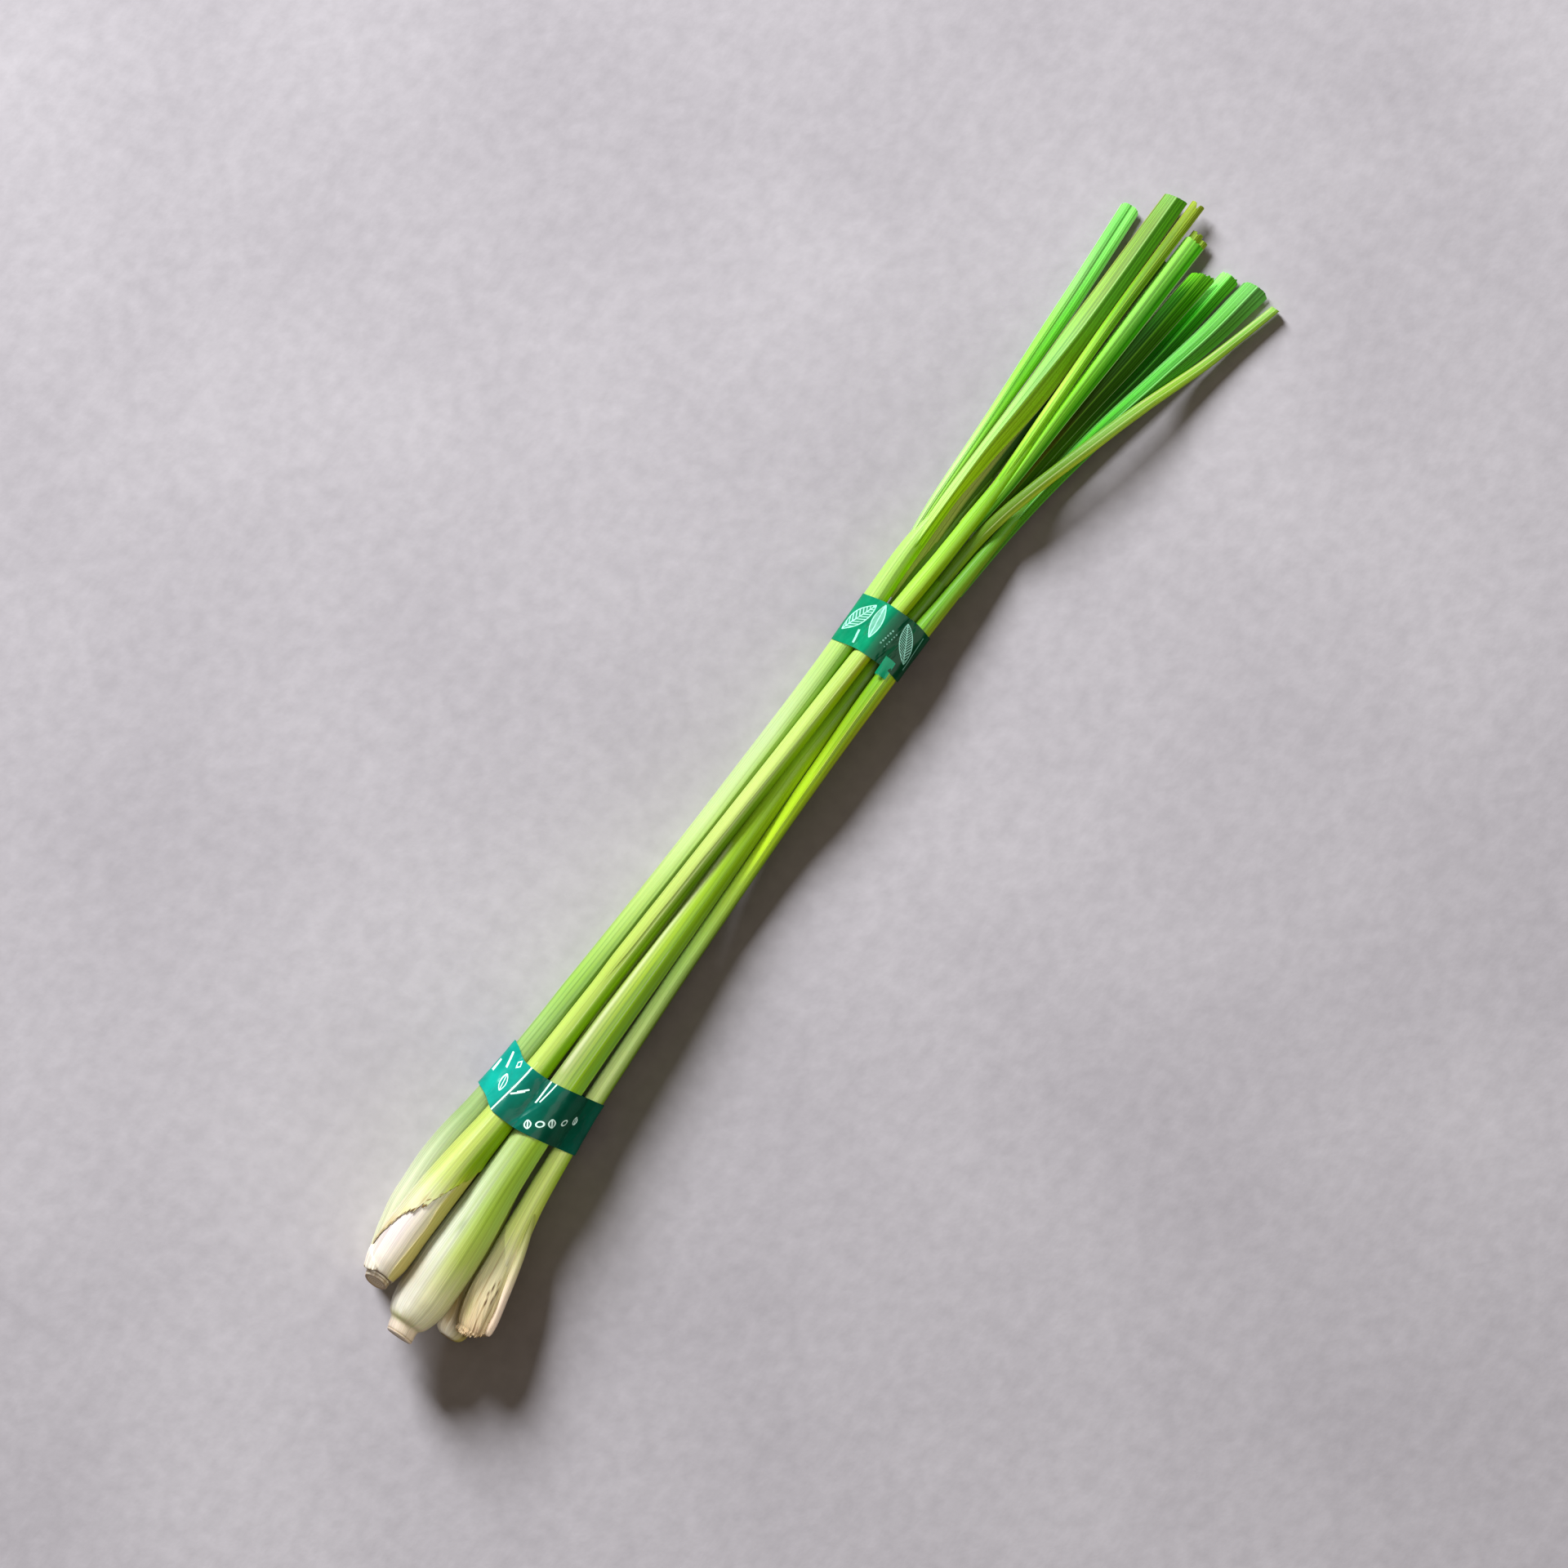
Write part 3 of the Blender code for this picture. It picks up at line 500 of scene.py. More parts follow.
def blade_piece(name, blade, material, thickness=0.38, **sizes):
    """A leaf blade grown on its highest line."""
    start, end = blade["line"][0][0], blade["line"][-1][0]
    along = np.linspace(start, end, int((end - start) / BLADE_STEP))
    across, height = np.moveaxis(smooth(blade["line"], along), -1, 0)
    line = line_object(name, to_world(along, across, height), spread=smooth(blade["spread"], along) * MM,
                       tip=ease(end - TRIM_REACH, end, along), way=along * UV_PER_MM)
    return grown(line, BLADE, material, thickness, **sizes)


# ---------------------------------------------------------------- shells made of two skins

def rim(edge, shift):
    """Faces from a row of points to the matching row on the other skin."""
    return np.stack([edge[:-1], edge[1:], edge[1:] + shift, edge[:-1] + shift], -1)


def shell_object(name, outer, inner, uv, material, closed=False, **marks):
    """Closed solid between two grids of points, with a UV map and named numbers on each point."""
    rows, columns = outer.shape[:2]
    points = np.concatenate([outer.reshape(-1, 3), inner.reshape(-1, 3)])
    index = np.arange(rows * columns).reshape(rows, columns)
    shift = rows * columns
    a, b, c, d = index[:-1, :-1], index[:-1, 1:], index[1:, 1:], index[1:, :-1]
    top = np.stack([a, b, c, d], -1).reshape(-1, 4)
    bottom = np.stack([a, d, c, b], -1).reshape(-1, 4) + shift
    rims = [rim(index[0] + shift, -shift), rim(index[-1], shift)]
    if not closed:
        rims += [rim(index[:, 0], shift), rim(index[:, -1] + shift, -shift)]
    faces = np.concatenate([top, bottom] + rims)
    data = bpy.data.meshes.new(name)
    data.from_pydata(points.tolist(), [], faces.tolist())
    layer = data.uv_layers.new(name="skin")
    places = np.concatenate([uv.reshape(-1, 2)] * 2)
    layer.data.foreach_set("uv", places[faces.ravel()].astype(np.float32).ravel())
    for key, values in marks.items():
        mark = data.attributes.new(key, "FLOAT", "POINT")
        mark.data.foreach_set("value", np.concatenate([values.ravel()] * 2).astype(np.float32))
    if closed:
        mesh = bmesh.new()
        mesh.from_mesh(data)
        bmesh.ops.remove_doubles(mesh, verts=mesh.verts[:], dist=SHELL_SEAM)
        mesh.to_mesh(data)
        mesh.free()
    data.materials.append(material)
    outward(data)
    data.shade_smooth()
    data.set_sharp_from_angle(angle=math.radians(SHELL_CREASE))
    return add_to_scene(name, data)


# Torn sheath: its edge as places along by turn, where it ends, where it meets the stem again, and how far
# it stands off the stem. Marks are (along, turn, half length, half turn) of brown lines near the edge.
TORN_END = 84.0
TORN_MEETS = (66, 82)
TORN_PROUD = 0.42
TORN_HELD = 0.46
TORN_EDGE = ((0, 13.0), (0.07, 18.5), (0.11, 21.5), (0.15, 26.5), (0.19, 28.5), (0.235, 30.5),
             (0.29, 36.5), (0.34, 41.0), (0.41, 45.0), (0.47, 48.5), (0.56, 47.0), (0.66, 39.0),
             (0.76, 27.0), (0.88, 17.0), (1.0, 13.0))
TORN_MARKS = ((31.0, 0.226, 0.5, 0.016), (33.6, 0.236, 0.35, 0.012), (29.0, 0.196, 0.4, 0.012),
              (27.0, 0.175, 0.35, 0.014), (24.5, 0.135, 0.3, 0.012), (37.0, 0.285, 0.3, 0.01))


def torn_sheath(stem, material):
    """Outer sheath of the front stalk, torn off on a slant above the bared inner sheath."""
    rows, columns = 150, 300
    turn = np.linspace(0, 1, columns + 1)
    edge = smooth(TORN_EDGE, turn)[:, 0]
    fray = 0.5 * wobble(11, 9, turn * FULL_TURN * 9) + 0.45 * wobble(5, 6, turn * FULL_TURN * 37)
    fray = fray + 1.4 * np.exp(-((turn - 0.222) / 0.006) ** 2) - 1.2 * np.exp(-((turn - 0.204) / 0.005) ** 2)
    fray = fray * np.minimum(1, 12 * np.minimum(turn, 1 - turn))
    edge = edge + fray
    share = (np.linspace(0, 1, rows) ** 1.5)[:, None]
    along = edge + (TORN_END - edge) * share
    turns = np.broadcast_to(turn, along.shape)
    from_edge = along - edge
    lifted = 0.28 * np.exp(-from_edge / 2.2) * (1 + 0.6 * wobble(8, 5, turns * 44))
    proud = TORN_PROUD * (1 - ease(*TORN_MEETS, along)) + lifted + 0.05
    proud = proud - 0.3 * (1 - ease(0, 0.7, from_edge))
    outer = stem_skin(stem, along, turns, proud)
    inner = stem_skin(stem, along, turns, np.minimum(proud - 0.16, 0.25))
    uv = np.stack([turns, along * UV_PER_MM], -1)
    browned = 0.45 + 0.55 * ease(0.12, 0.2, turns) - 0.35 * ease(0.25, 0.3, turns)
    dry = np.exp(-from_edge / 0.5) * browned * (0.8 + 0.35 * wobble(3, 5, turns * 90))
    for place, turned, reach, half in TORN_MARKS:
        slant = along - place - 60.0 * (turns - turned)
        dry = dry + 1.2 * np.exp(-(slant / reach) ** 2 - ((turns - turned) / half) ** 2)
    return shell_object("torn_sheath", outer, inner, uv, material, closed=True, dry=np.clip(dry, 0, 1))


def leaf_layer(name, stem, material, margin, wrap, start, end, proud, taper):
    """Outer leaf sheath that wraps part of a stem; its free margin shows as a fine edge along it.

    margin gives the turn of the free edge by places along, wrap the turns that the sheath reaches back."""
    rows, columns = int((end - start) / 1.3), 56
    along = np.linspace(start, end, rows)[:, None]
    far = smooth(margin, along[:, 0])[:, 0][:, None] + 0.004 * wobble(7, 5, along / 9.0)
    share = np.linspace(0, 1, columns) ** 0.8
    turns = far - wrap * (1 - share)
    along = np.broadcast_to(along, turns.shape)
    lift = proud * ease(start, start + taper, along) * (1 - ease(end - taper, end, along))
    lift = lift * ease(0.0, 0.3, share) + 0.02
    lift = lift * (1 - 0.35 * ease(0.985, 1.0, share))
    outer = stem_skin(stem, along, turns, lift)
    inner = stem_skin(stem, along, turns, -0.15)
    uv = np.stack([turns, along * UV_PER_MM], -1)
    wide = smooth(stem["girth"], along)[..., 0]
    from_margin = np.abs(far - turns) * FULL_TURN * wide
    return shell_object(name, outer, inner, uv, material, margin=from_margin)


def sheath_patch(name, stem, material, turns, start, end, proud, seed, fray, rise, sink=0.6, browned=0.75):
    """Piece of an outer sheath between two edges, given as places along by turn; its start is frayed.

    rise is how far its lifted start reaches, sink the share of its length over which it ends."""
    rows, columns = 48, 90
    turn = np.linspace(*turns, columns + 1)
    first = smooth(start, turn)[:, 0]
    first = first + fray * (wobble(seed, 7, turn * 70) + 0.5 * wobble(seed + 2, 7, turn * 210))
    last = smooth(end, turn)[:, 0] + 0.4 * fray * wobble(seed + 5, 5, turn * 60)
    share = (np.linspace(0, 1, rows) ** 1.3)[:, None]
    along = first + (last - first) * share
    over = np.broadcast_to(turn, along.shape)
    side = np.minimum(over - turns[0], turns[1] - over) / (turns[1] - turns[0])
    lift = proud * ease(-0.02, 0.06, side) * (1 - ease(1 - sink, 1.0, np.broadcast_to(share, along.shape)))
    lift = lift * (1 + 0.25 * wobble(seed + 7, 6, over * 50 + along * 0.3)) + 0.03
    lift = lift + 0.25 * np.exp(-(along - first) / rise) * (1 + wobble(seed + 9, 6, over * 90))
    outer = stem_skin(stem, along, over, lift)
    inner = stem_skin(stem, along, over, np.minimum(lift - 0.18, 0.12) - 0.1)
    uv = np.stack([over, along * UV_PER_MM], -1)
    dry = browned * np.exp(-(along - first) / 0.5) * (0.75 + 0.4 * wobble(seed + 1, 5, over * 60))
    return shell_object(name, outer, inner, uv, material, dry=np.clip(dry, 0, 1))


# ---------------------------------------------------------------- materials

# Sockets of a colour Mix node: its factor, first and second colour, and its result.
MIX_INPUTS = (0, 6, 7)
MIX_OUTPUT = 2


class Shader(Wiring):
    """A material."""

    def __init__(self, name):
        self.material = bpy.data.materials.new(name)
        self.material.use_nodes = True
        super().__init__(self.material.node_tree.nodes, self.material.node_tree.links)
        self.surface = self.nodes["Principled BSDF"]

    def skin(self):
        """Share over and way along, from the piece's UV map."""
        return self.parts(self.node("ShaderNodeUVMap", uv_map="skin").outputs[0])[:2]

    def mark(self, name):
        """A named number of the piece."""
        return self.node("ShaderNodeAttribute", attribute_name=name).outputs["Fac"]

    def noise(self, x, y, scale, detail=3.0, rough=0.55):
        """Noise at a place given by two numbers."""
        return self.node("ShaderNodeTexNoise", {"Vector": self.vector(x, y), "Scale": scale, "Detail": detail,
                                                "Roughness": rough}, noise_dimensions="2D").outputs[0]

    def cloud(self, place, scale, detail):
        """Noise alike in every direction, at a place in metres."""
        return self.node("ShaderNodeTexNoise",
                         {"Vector": place, "Scale": scale, "Detail": detail}).outputs[0]

    def wrapped(self, share, way, radius, stretch, detail=3.0, rough=0.55):
        """Noise that goes round a stem without a seam: larger radius, finer grain round it."""
        angle = self.times(share, FULL_TURN)
        place = self.vector(self.times(self.math("COSINE", angle), radius),
                            self.times(self.math("SINE", angle), radius), self.times(way, stretch))
        return self.node("ShaderNodeTexNoise", {"Vector": place, "Scale": 1.0, "Detail": detail,
                                                "Roughness": rough}).outputs[0]

    def ramp(self, factor, stops):
        """Colours or greys along a factor, from (place, value) pairs."""
        made = self.node("ShaderNodeValToRGB", {0: factor})
        ramp = made.color_ramp
        while len(ramp.elements) > 1:
            ramp.elements.remove(ramp.elements[-1])
        for number, (place, value) in enumerate(stops):
            element = ramp.elements[0] if number == 0 else ramp.elements.new(place)
            element.position = place
            element.color = (*value, 1.0) if isinstance(value, tuple) else (value, value, value, 1.0)
        return made.outputs[0]

    def mix(self, factor, first, second, blend="MIX"):
        """Mix of two colours."""
        made = self.node("ShaderNodeMix", data_type="RGBA", blend_type=blend)
        for key, value in zip(MIX_INPUTS, (factor, first, second)):
            self.feed(made.inputs[key], (*value, 1.0) if isinstance(value, tuple) else value)
        return made.outputs[MIX_OUTPUT]

    def toned(self, colour, noise, stops):
        """A colour made darker and lighter by noise, from (noise, factor) pairs."""
        return self.mix(1.0, colour, self.ramp(noise, stops), "MULTIPLY")

    def bump(self, height, distance, strength=1.0, under=None):
        """A surface's small relief."""
        inputs = {"Height": height, "Distance": distance, "Strength": strength}
        if under is not None:
            inputs["Normal"] = under
        return self.node("ShaderNodeBump", inputs).outputs[0]

    def finish(self, colour, roughness, normal=None, **sockets):
        """Close the material."""
        self.links.new(colour, self.surface.inputs["Base Color"])
        self.feed(self.surface.inputs["Roughness"], roughness)
        if normal is not None:
            self.links.new(normal, self.surface.inputs["Normal"])
        for key, value in sockets.items():
            self.surface.inputs[key.replace("_", " ")].default_value = value
        return self.material


# Colours are given by millimetres along, over this length.
RULER = 400.0
FULL_WAY = RULER * UV_PER_MM

# The turn of a stalk's side that faces the window light, where the painted light on its skin is brightest.
BRIGHT_TURN = 0.07

# Colours of plants that more than one finish uses.
BROWN = (0.26, 0.15, 0.045)
DARK_BROWN = (0.10, 0.05, 0.015)
GREEN_VEIN = (0.10, 0.20, 0.045)
DRY_MARGIN = (0.52, 0.47, 0.25)
DRIED_EDGE = (0.22, 0.13, 0.035)
FACE_DARK, FACE_PALE, FACE_RIM = (0.42, 0.30, 0.16), (0.66, 0.55, 0.36), (0.30, 0.19, 0.09)


def by_length(stops):
    """Stops of a ramp over the ruler, from stops in millimetres, none of them past its ends."""
    return [(min(max(mm, 0) / RULER, 1.0), value) for mm, value in stops]


def plant_material(name, lit, shaded, shade, low=(), low_shade=(0.26, 0.33), stripes=None, layer=False,
                   dry_margin=0.0, stains_and_shadows=(), lines=(), rings=()):
    """Waxy skin of a stalk. lit, shaded and low are colours by millimetres along, on the side lit by the
    window light, the side turned away from it and the lowest side. Mixed by turn, they paint the light and
    shade of that lamp into the colour, over the stalk's own greens and creams. shade and low_shade hold the
    turns, from the brightest one, where the next side starts and is full. stripes are the start, end and
    depth of a zone with green veins. stains_and_shadows are (along, turn, half length, half turn, strength,
    colour) marks, real stains and some painted shade. lines are (turn, half turn, start, end, strength,
    colour) marks that run lengthwise, rings are (along, half width, strength, colour) marks that run round
    it. A layer has no cut end, and may have a dry margin so many millimetres wide."""
    made = Shader(name)
    share, way = made.skin()
    along = made.divided(way, FULL_WAY)
    length = made.times(way, 1.0 / UV_PER_MM)
    streak = made.wrapped(share, way, 11.0, 1.1, 4.0, 0.6)
    broad = made.wrapped(share, way, 2.6, 0.6)
    slow = made.wrapped(share, way, 0.8, 2.4, 2.0)
    fibre = made.wrapped(share, way, 26.0, 0.9, 3.0, 0.65)

    place = made.plus(along, made.swing(broad, 0.03))
    turned = made.times(made.minus(share, BRIGHT_TURN), FULL_TURN)
    away = made.plus(made.minus(0.5, made.times(made.math("COSINE", turned), 0.5)), made.swing(broad, 0.3))
    colour = made.ramp(place, by_length(lit))
    # Painted light and shade: the lit colour turns into the shaded and then the low colour away from the
    # lamp's side.
    for tints, turns in ((shaded, shade), (low, low_shade)):
        if tints:
            side = made.ramp(away, [(0.5 - 0.5 * math.cos(FULL_TURN * turn), value)
                                    for turn, value in zip(turns, (0.0, 1.0))])
            colour = made.mix(side, colour, made.ramp(place, by_length(tints)))
    colour = made.toned(colour, fibre, [(0.32, 0.84), (0.5, 1.0), (0.68, 1.13)])
    colour = made.toned(colour, streak, [(0.3, 0.78), (0.5, 1.0), (0.72, 1.14)])

    for turn, half, start, end, strength, tint in lines:
        off = made.divided(made.minus(made.plus(share, made.swing(broad, 0.02)), turn), half)
        span = made.ramp(along, by_length(((start - 3, 0.0), (start, 1.0), (end, 1.0), (end + 4, 0.0))))
        colour = made.mix(made.times(made.bell(off), span, strength), colour, tint)
    for mm, half, strength, tint in rings:
        off = made.divided(made.minus(made.plus(length, made.swing(streak, 0.5)), mm), half)
        colour = made.mix(made.times(made.bell(off), strength), colour, tint)
    for mm, turn, reach, half, strength, tint in stains_and_shadows:
        off = made.divided(made.minus(share, turn), half)
        far = made.divided(made.minus(length, mm), reach)
        size = made.plus(made.plus(made.times(off, off), made.times(far, far)), made.swing(fibre, 2.4))
        near = made.math("MINIMUM", made.math("EXPONENT", made.times(size, -1.0)), 1.0)
        colour = made.mix(made.times(near, strength), colour, tint)
    colour = made.toned(colour, slow, [(0.3, 0.92), (0.7, 1.06)])

    if stripes:
        start, end, depth = stripes
        zone = made.ramp(along, by_length(((start - 14, 0.0), (start, 1.0), (end, 1.0), (end + 45, 0.0))))
        veins = made.ramp(made.wrapped(share, way, 6.0, 0.35, 2.0), [(0.46, 0.0), (0.58, 1.0)])
        colour = made.mix(made.times(zone, veins, depth), colour, GREEN_VEIN)
    if dry_margin:
        margin = made.ramp(made.divided(made.mark("margin"), dry_margin), [(0.0, 1.0), (1.0, 0.0)])
        colour = made.mix(made.times(margin, 0.75), colour, DRY_MARGIN)
    if not layer:
        ring = made.mark("ring")
        waves = made.math("SINE", made.plus(made.times(ring, 34.0), made.times(broad, 4.0)))
        face = made.mix(made.ramp(waves, [(0.0, 0.0), (1.0, 1.0)]), FACE_DARK, FACE_PALE)
        face = made.mix(made.ramp(ring, [(0.82, 0.0), (0.93, 1.0)]), face, FACE_RIM)
        colour = made.mix(made.mark("cut"), colour, face)
    dry = made.ramp(made.plus(made.mark("dry"), made.swing(streak, 0.25)),
                    [(0.28, 0.0), (0.62, 0.7), (0.95, 1.0)])
    colour = made.mix(dry, colour, DRIED_EDGE)

    relief = made.bump(streak, 0.00012, 0.5)
    relief = made.bump(broad, 0.0004, 0.25, relief)
    relief = made.bump(fibre, 0.00008, 0.5, relief)
    return made.finish(colour, made.ramp(streak, [(0.3, 0.44), (0.7, 0.33)]), relief,
                       Subsurface_Weight=0.06, Subsurface_Scale=0.0015, Coat_Weight=0.05,
                       Coat_Roughness=0.2, Specular_IOR_Level=0.15)


def blade_material(name, left, right, keel, edge, fold=(0.47, 0.53), veins=16.0, gloss=0.42, sheen=1.0):
    """Leaf blade: colours by millimetres along its left and its right half, a keel, edges and fine veins.
    The two halves paint the light on the facet turned to the window light and the shade on the facet turned
    away, over the blade's own greens. On several blades the keel colour is a painted highlight along the
    fold.
    fold holds the shares over the blade between which the left colour turns into the right one."""
    made = Shader(name)
    share, way = made.skin()
    streak = made.noise(made.times(share, veins), made.times(way, 0.5), 1.0, 3.0, 0.6)
    fine = made.noise(made.times(share, veins * 4.0), made.times(way, 1.4), 1.0, 3.0)
    slow = made.noise(made.times(share, 3.0), made.times(way, 1.8), 1.0, 2.0)
    place = made.plus(made.divided(way, FULL_WAY), made.swing(streak, 0.05))
    halves = [made.ramp(place, by_length(half)) for half in (left, right)]
    colour = made.mix(made.ramp(share, [(fold[0], 0.0), (fold[1], 1.0)]), *halves)
    colour = made.toned(colour, streak, [(0.34, 0.62), (0.5, 1.0), (0.68, 1.3)])
    colour = made.toned(colour, fine, [(0.3, 0.76), (0.7, 1.2)])
    colour = made.toned(colour, slow, [(0.3, 0.82), (0.7, 1.12)])
    off = made.math("ABSOLUTE", made.minus(share, 0.5))
    # Keel line: on several blades a painted highlight along the fold.
    colour = made.mix(made.ramp(off, [(0.0, 0.6), (0.03, 0.0)]), colour, keel)
    colour = made.mix(made.ramp(off, [(0.462, 0.0), (0.488, 0.7)]), colour, edge)
    relief = made.bump(fine, 0.00006, 0.4, made.bump(streak, 0.0002, 0.4))
    return made.finish(colour, gloss, relief, Subsurface_Weight=0.04, Subsurface_Scale=0.001,
                       Coat_Weight=0.05 * sheen, Coat_Roughness=0.22, Specular_IOR_Level=0.17 * sheen)


# ---------------------------------------------------------------- tapes

# wander shifts the band along by places across. dip is how far it sinks where it spans, at its two edges.
# bands holds the places across where the film is painted pale (1), on its side and crests lit by the window
# light, or dark (0), on its shaded side: painted light and shade.
TAPES = {
    "band_lower": {"along": 73.0, "width": 17.0,
                   "wander": ((-6, 2.9), (5, 1.2), (15, 0.0), (22, 0.5), (27, 3.4), (31, 5.0)),
                   "dip": (0.34, 0.42),
                   "bands": ((29.5, 0.85), (26, 1.0), (22, 0.8), (20.5, 0.36), (17.5, 0.2), (15, 0.16),
                             (13, 0.34), (11, 0.2), (6, 0.1), (1, 0.05), (-3.5, 0.16))},
    "band_upper": {"along": 242.2, "width": 16.0,
                   "wander": ((-8, -1.4), (0, 0.5), (8, 0.7), (17, -0.9)),
                   "dip": (0.2, 0.2),
                   "bands": ((16, 0.8), (13, 0.9), (8, 1.0), (6.4, 0.55), (4, 0.2), (1, 0.08),
                             (-4, 0.05), (-6.5, 0.1))},
}
PRINT_PER_MM = 0.01

# The film, its gap to the stems, the points round a band, and what a motif is placed by.
FILM = 0.2
FILM_GAP = 0.28
TAPE_POINTS = 421
SKIN_POINTS = 96
PRINT_GAP = 0.4

# Toothed end of the upper tape: where it starts across, how wide it is, its first edge and its depth along.
END_ACROSS = 1.2
END_WIDTH = 3.6
END_EDGE = -11.1
END_DEPTH = 6.3
TEETH, TOOTH = 6, 1.1
VEIN_SLOPE = 0.9
VEIN_SHARE = 0.32


def hull(points):
    """Corners of the tight outline round flat points, counter-clockwise."""
    ordered = sorted(map(tuple, points))
    outline = []
    for side in (ordered, ordered[::-1]):
        chain = []
        for x, y in side:
            while len(chain) > 1:
                (ax, ay), (bx, by) = chain[-2], chain[-1]
                if (bx - ax) * (y - ay) - (by - ay) * (x - ax) > 0:
                    break
                chain.pop()
            chain.append((x, y))
        outline += chain[:-1]
    return np.array(outline)


def tape_along(tape, edge, across):
    """Place along the bundle of a line on the tape, where it crosses one place across the bundle."""
    return tape["along"] + edge + smooth(tape["wander"], across)[..., 0]


def bound_skins(tape, edge):
    """Points on the skins of the stems under one line of the tape, as rows of (across, height)."""
    turn = np.linspace(0, 1, SKIN_POINTS, endpoint=False)
    points = []
    for name, stem in STEMS.items():
        along = float(tape_along(tape, edge, smooth(stem["route"], tape["along"])[0]))
        proud = TORN_HELD * (1 - float(ease(*TORN_MEETS, along))) if name == "stalk_front" else 0.0
        points.append(stem_skin(stem, along, turn, proud)[:, 1:] / MM)
    points = np.concatenate(points)
    points[:, 0] += MIDDLE_ACROSS
    return points


def tape_path(tape, edge, gap, count):
    """Evenly spaced points of a line pulled tight round the stems, from its left-hand side over the top."""
    skins = bound_skins(tape, edge)
    corners = hull(skins)
    start = int(np.argmax(corners[:, 0]))
    corners = np.roll(corners, -start, axis=0)
    loop = np.concatenate([corners, corners[:1]])
    walked = np.concatenate([[0], np.cumsum(np.linalg.norm(np.diff(loop, axis=0), axis=1))])
    spaced = np.linspace(0, walked[-1], count)
    points = np.stack([np.interp(spaced, walked, loop[:, axis]) for axis in (0, 1)], -1)
    ahead = np.roll(points[:-1], -1, axis=0) - np.roll(points[:-1], 1, axis=0)
    ahead = np.concatenate([ahead, ahead[:1]])
    out = np.stack([ahead[:, 1], -ahead[:, 0]], -1)
    out /= np.linalg.norm(out, axis=1)[:, None]
    slack = np.linalg.norm(points[:, None] - skins[None], axis=2).min(axis=1)
    return points + out * gap, out, np.maximum(slack - 0.1, 0), spaced


def tape_shell(name, tape, material, seed, rows=30):
    """Thin plastic band pulled round the bundle, sinking a little where it spans from stem to stem."""
    outer, inner, uv = [], [], []
    for part in np.linspace(0, 1, rows):
        edge = tape["width"] * (part - 0.5)
        points, out, slack, spaced = tape_path(tape, edge, FILM_GAP, TAPE_POINTS)
        turn = spaced / spaced[-1] * FULL_TURN
        dip = tape["dip"][0] + (tape["dip"][1] - tape["dip"][0]) * part**2
        ripple = 0.10 * (1 + wobble(seed, 6, turn * 5 + 0.25 * edge))
        ripple += 0.05 * (1 + wobble(seed + 4, 6, turn * 17 - 0.5 * edge))
        ripple = ripple * (0.35 + np.minimum(slack, 1.2))
        ripple[-1] = ripple[0]
        move = ripple - dip * slack
        for grid, thick in ((outer, FILM), (inner, 0.0)):
            place = points + out * (move + thick)[:, None]
            grid.append(to_world(tape_along(tape, edge, place[:, 0]), place[:, 0], place[:, 1]))
        uv.append(np.stack([spaced * PRINT_PER_MM, np.full(TAPE_POINTS, edge * PRINT_PER_MM)], -1))
    return shell_object(name, np.array(outer), np.array(inner), np.array(uv), material, closed=True)


def tape_flap(name, tape, material, rows=24, columns=60):
    """Loose toothed end of the upper tape, lying on the stems just past the band's edge."""
    paths, outer, inner, uv = {}, [], [], []
    for back in 1 - np.linspace(0, 1, rows):
        for over in np.linspace(0, 1, columns + 1):
            across = END_ACROSS - END_WIDTH * over
            tooth = abs((over * TEETH) % 1.0 - 0.5) * TOOTH
            edge = END_EDGE + END_DEPTH * (1 - back) + (tooth + 0.5 * over) * back
            key = round(edge * 4) / 4
            if key not in paths:
                path = tape_path(tape, key, 0.3, TAPE_POINTS)[0]
                paths[key] = path[:TAPE_POINTS // 2]
            upper = paths[key]
            height = float(np.interp(-across, -upper[:, 0], upper[:, 1]))
            height += 0.35 + 0.25 * back * math.sin(over * 5.0)
            along = float(tape_along(tape, edge, across))
            outer.append(to_world(along, across, height))
            inner.append(to_world(along, across, height - 0.22))
            uv.append((over * END_WIDTH * PRINT_PER_MM, edge * PRINT_PER_MM))
    outer, inner, uv = (np.array(grid).reshape(rows, columns + 1, -1) for grid in (outer, inner, uv))
    return shell_object(name, outer, inner, uv, material)


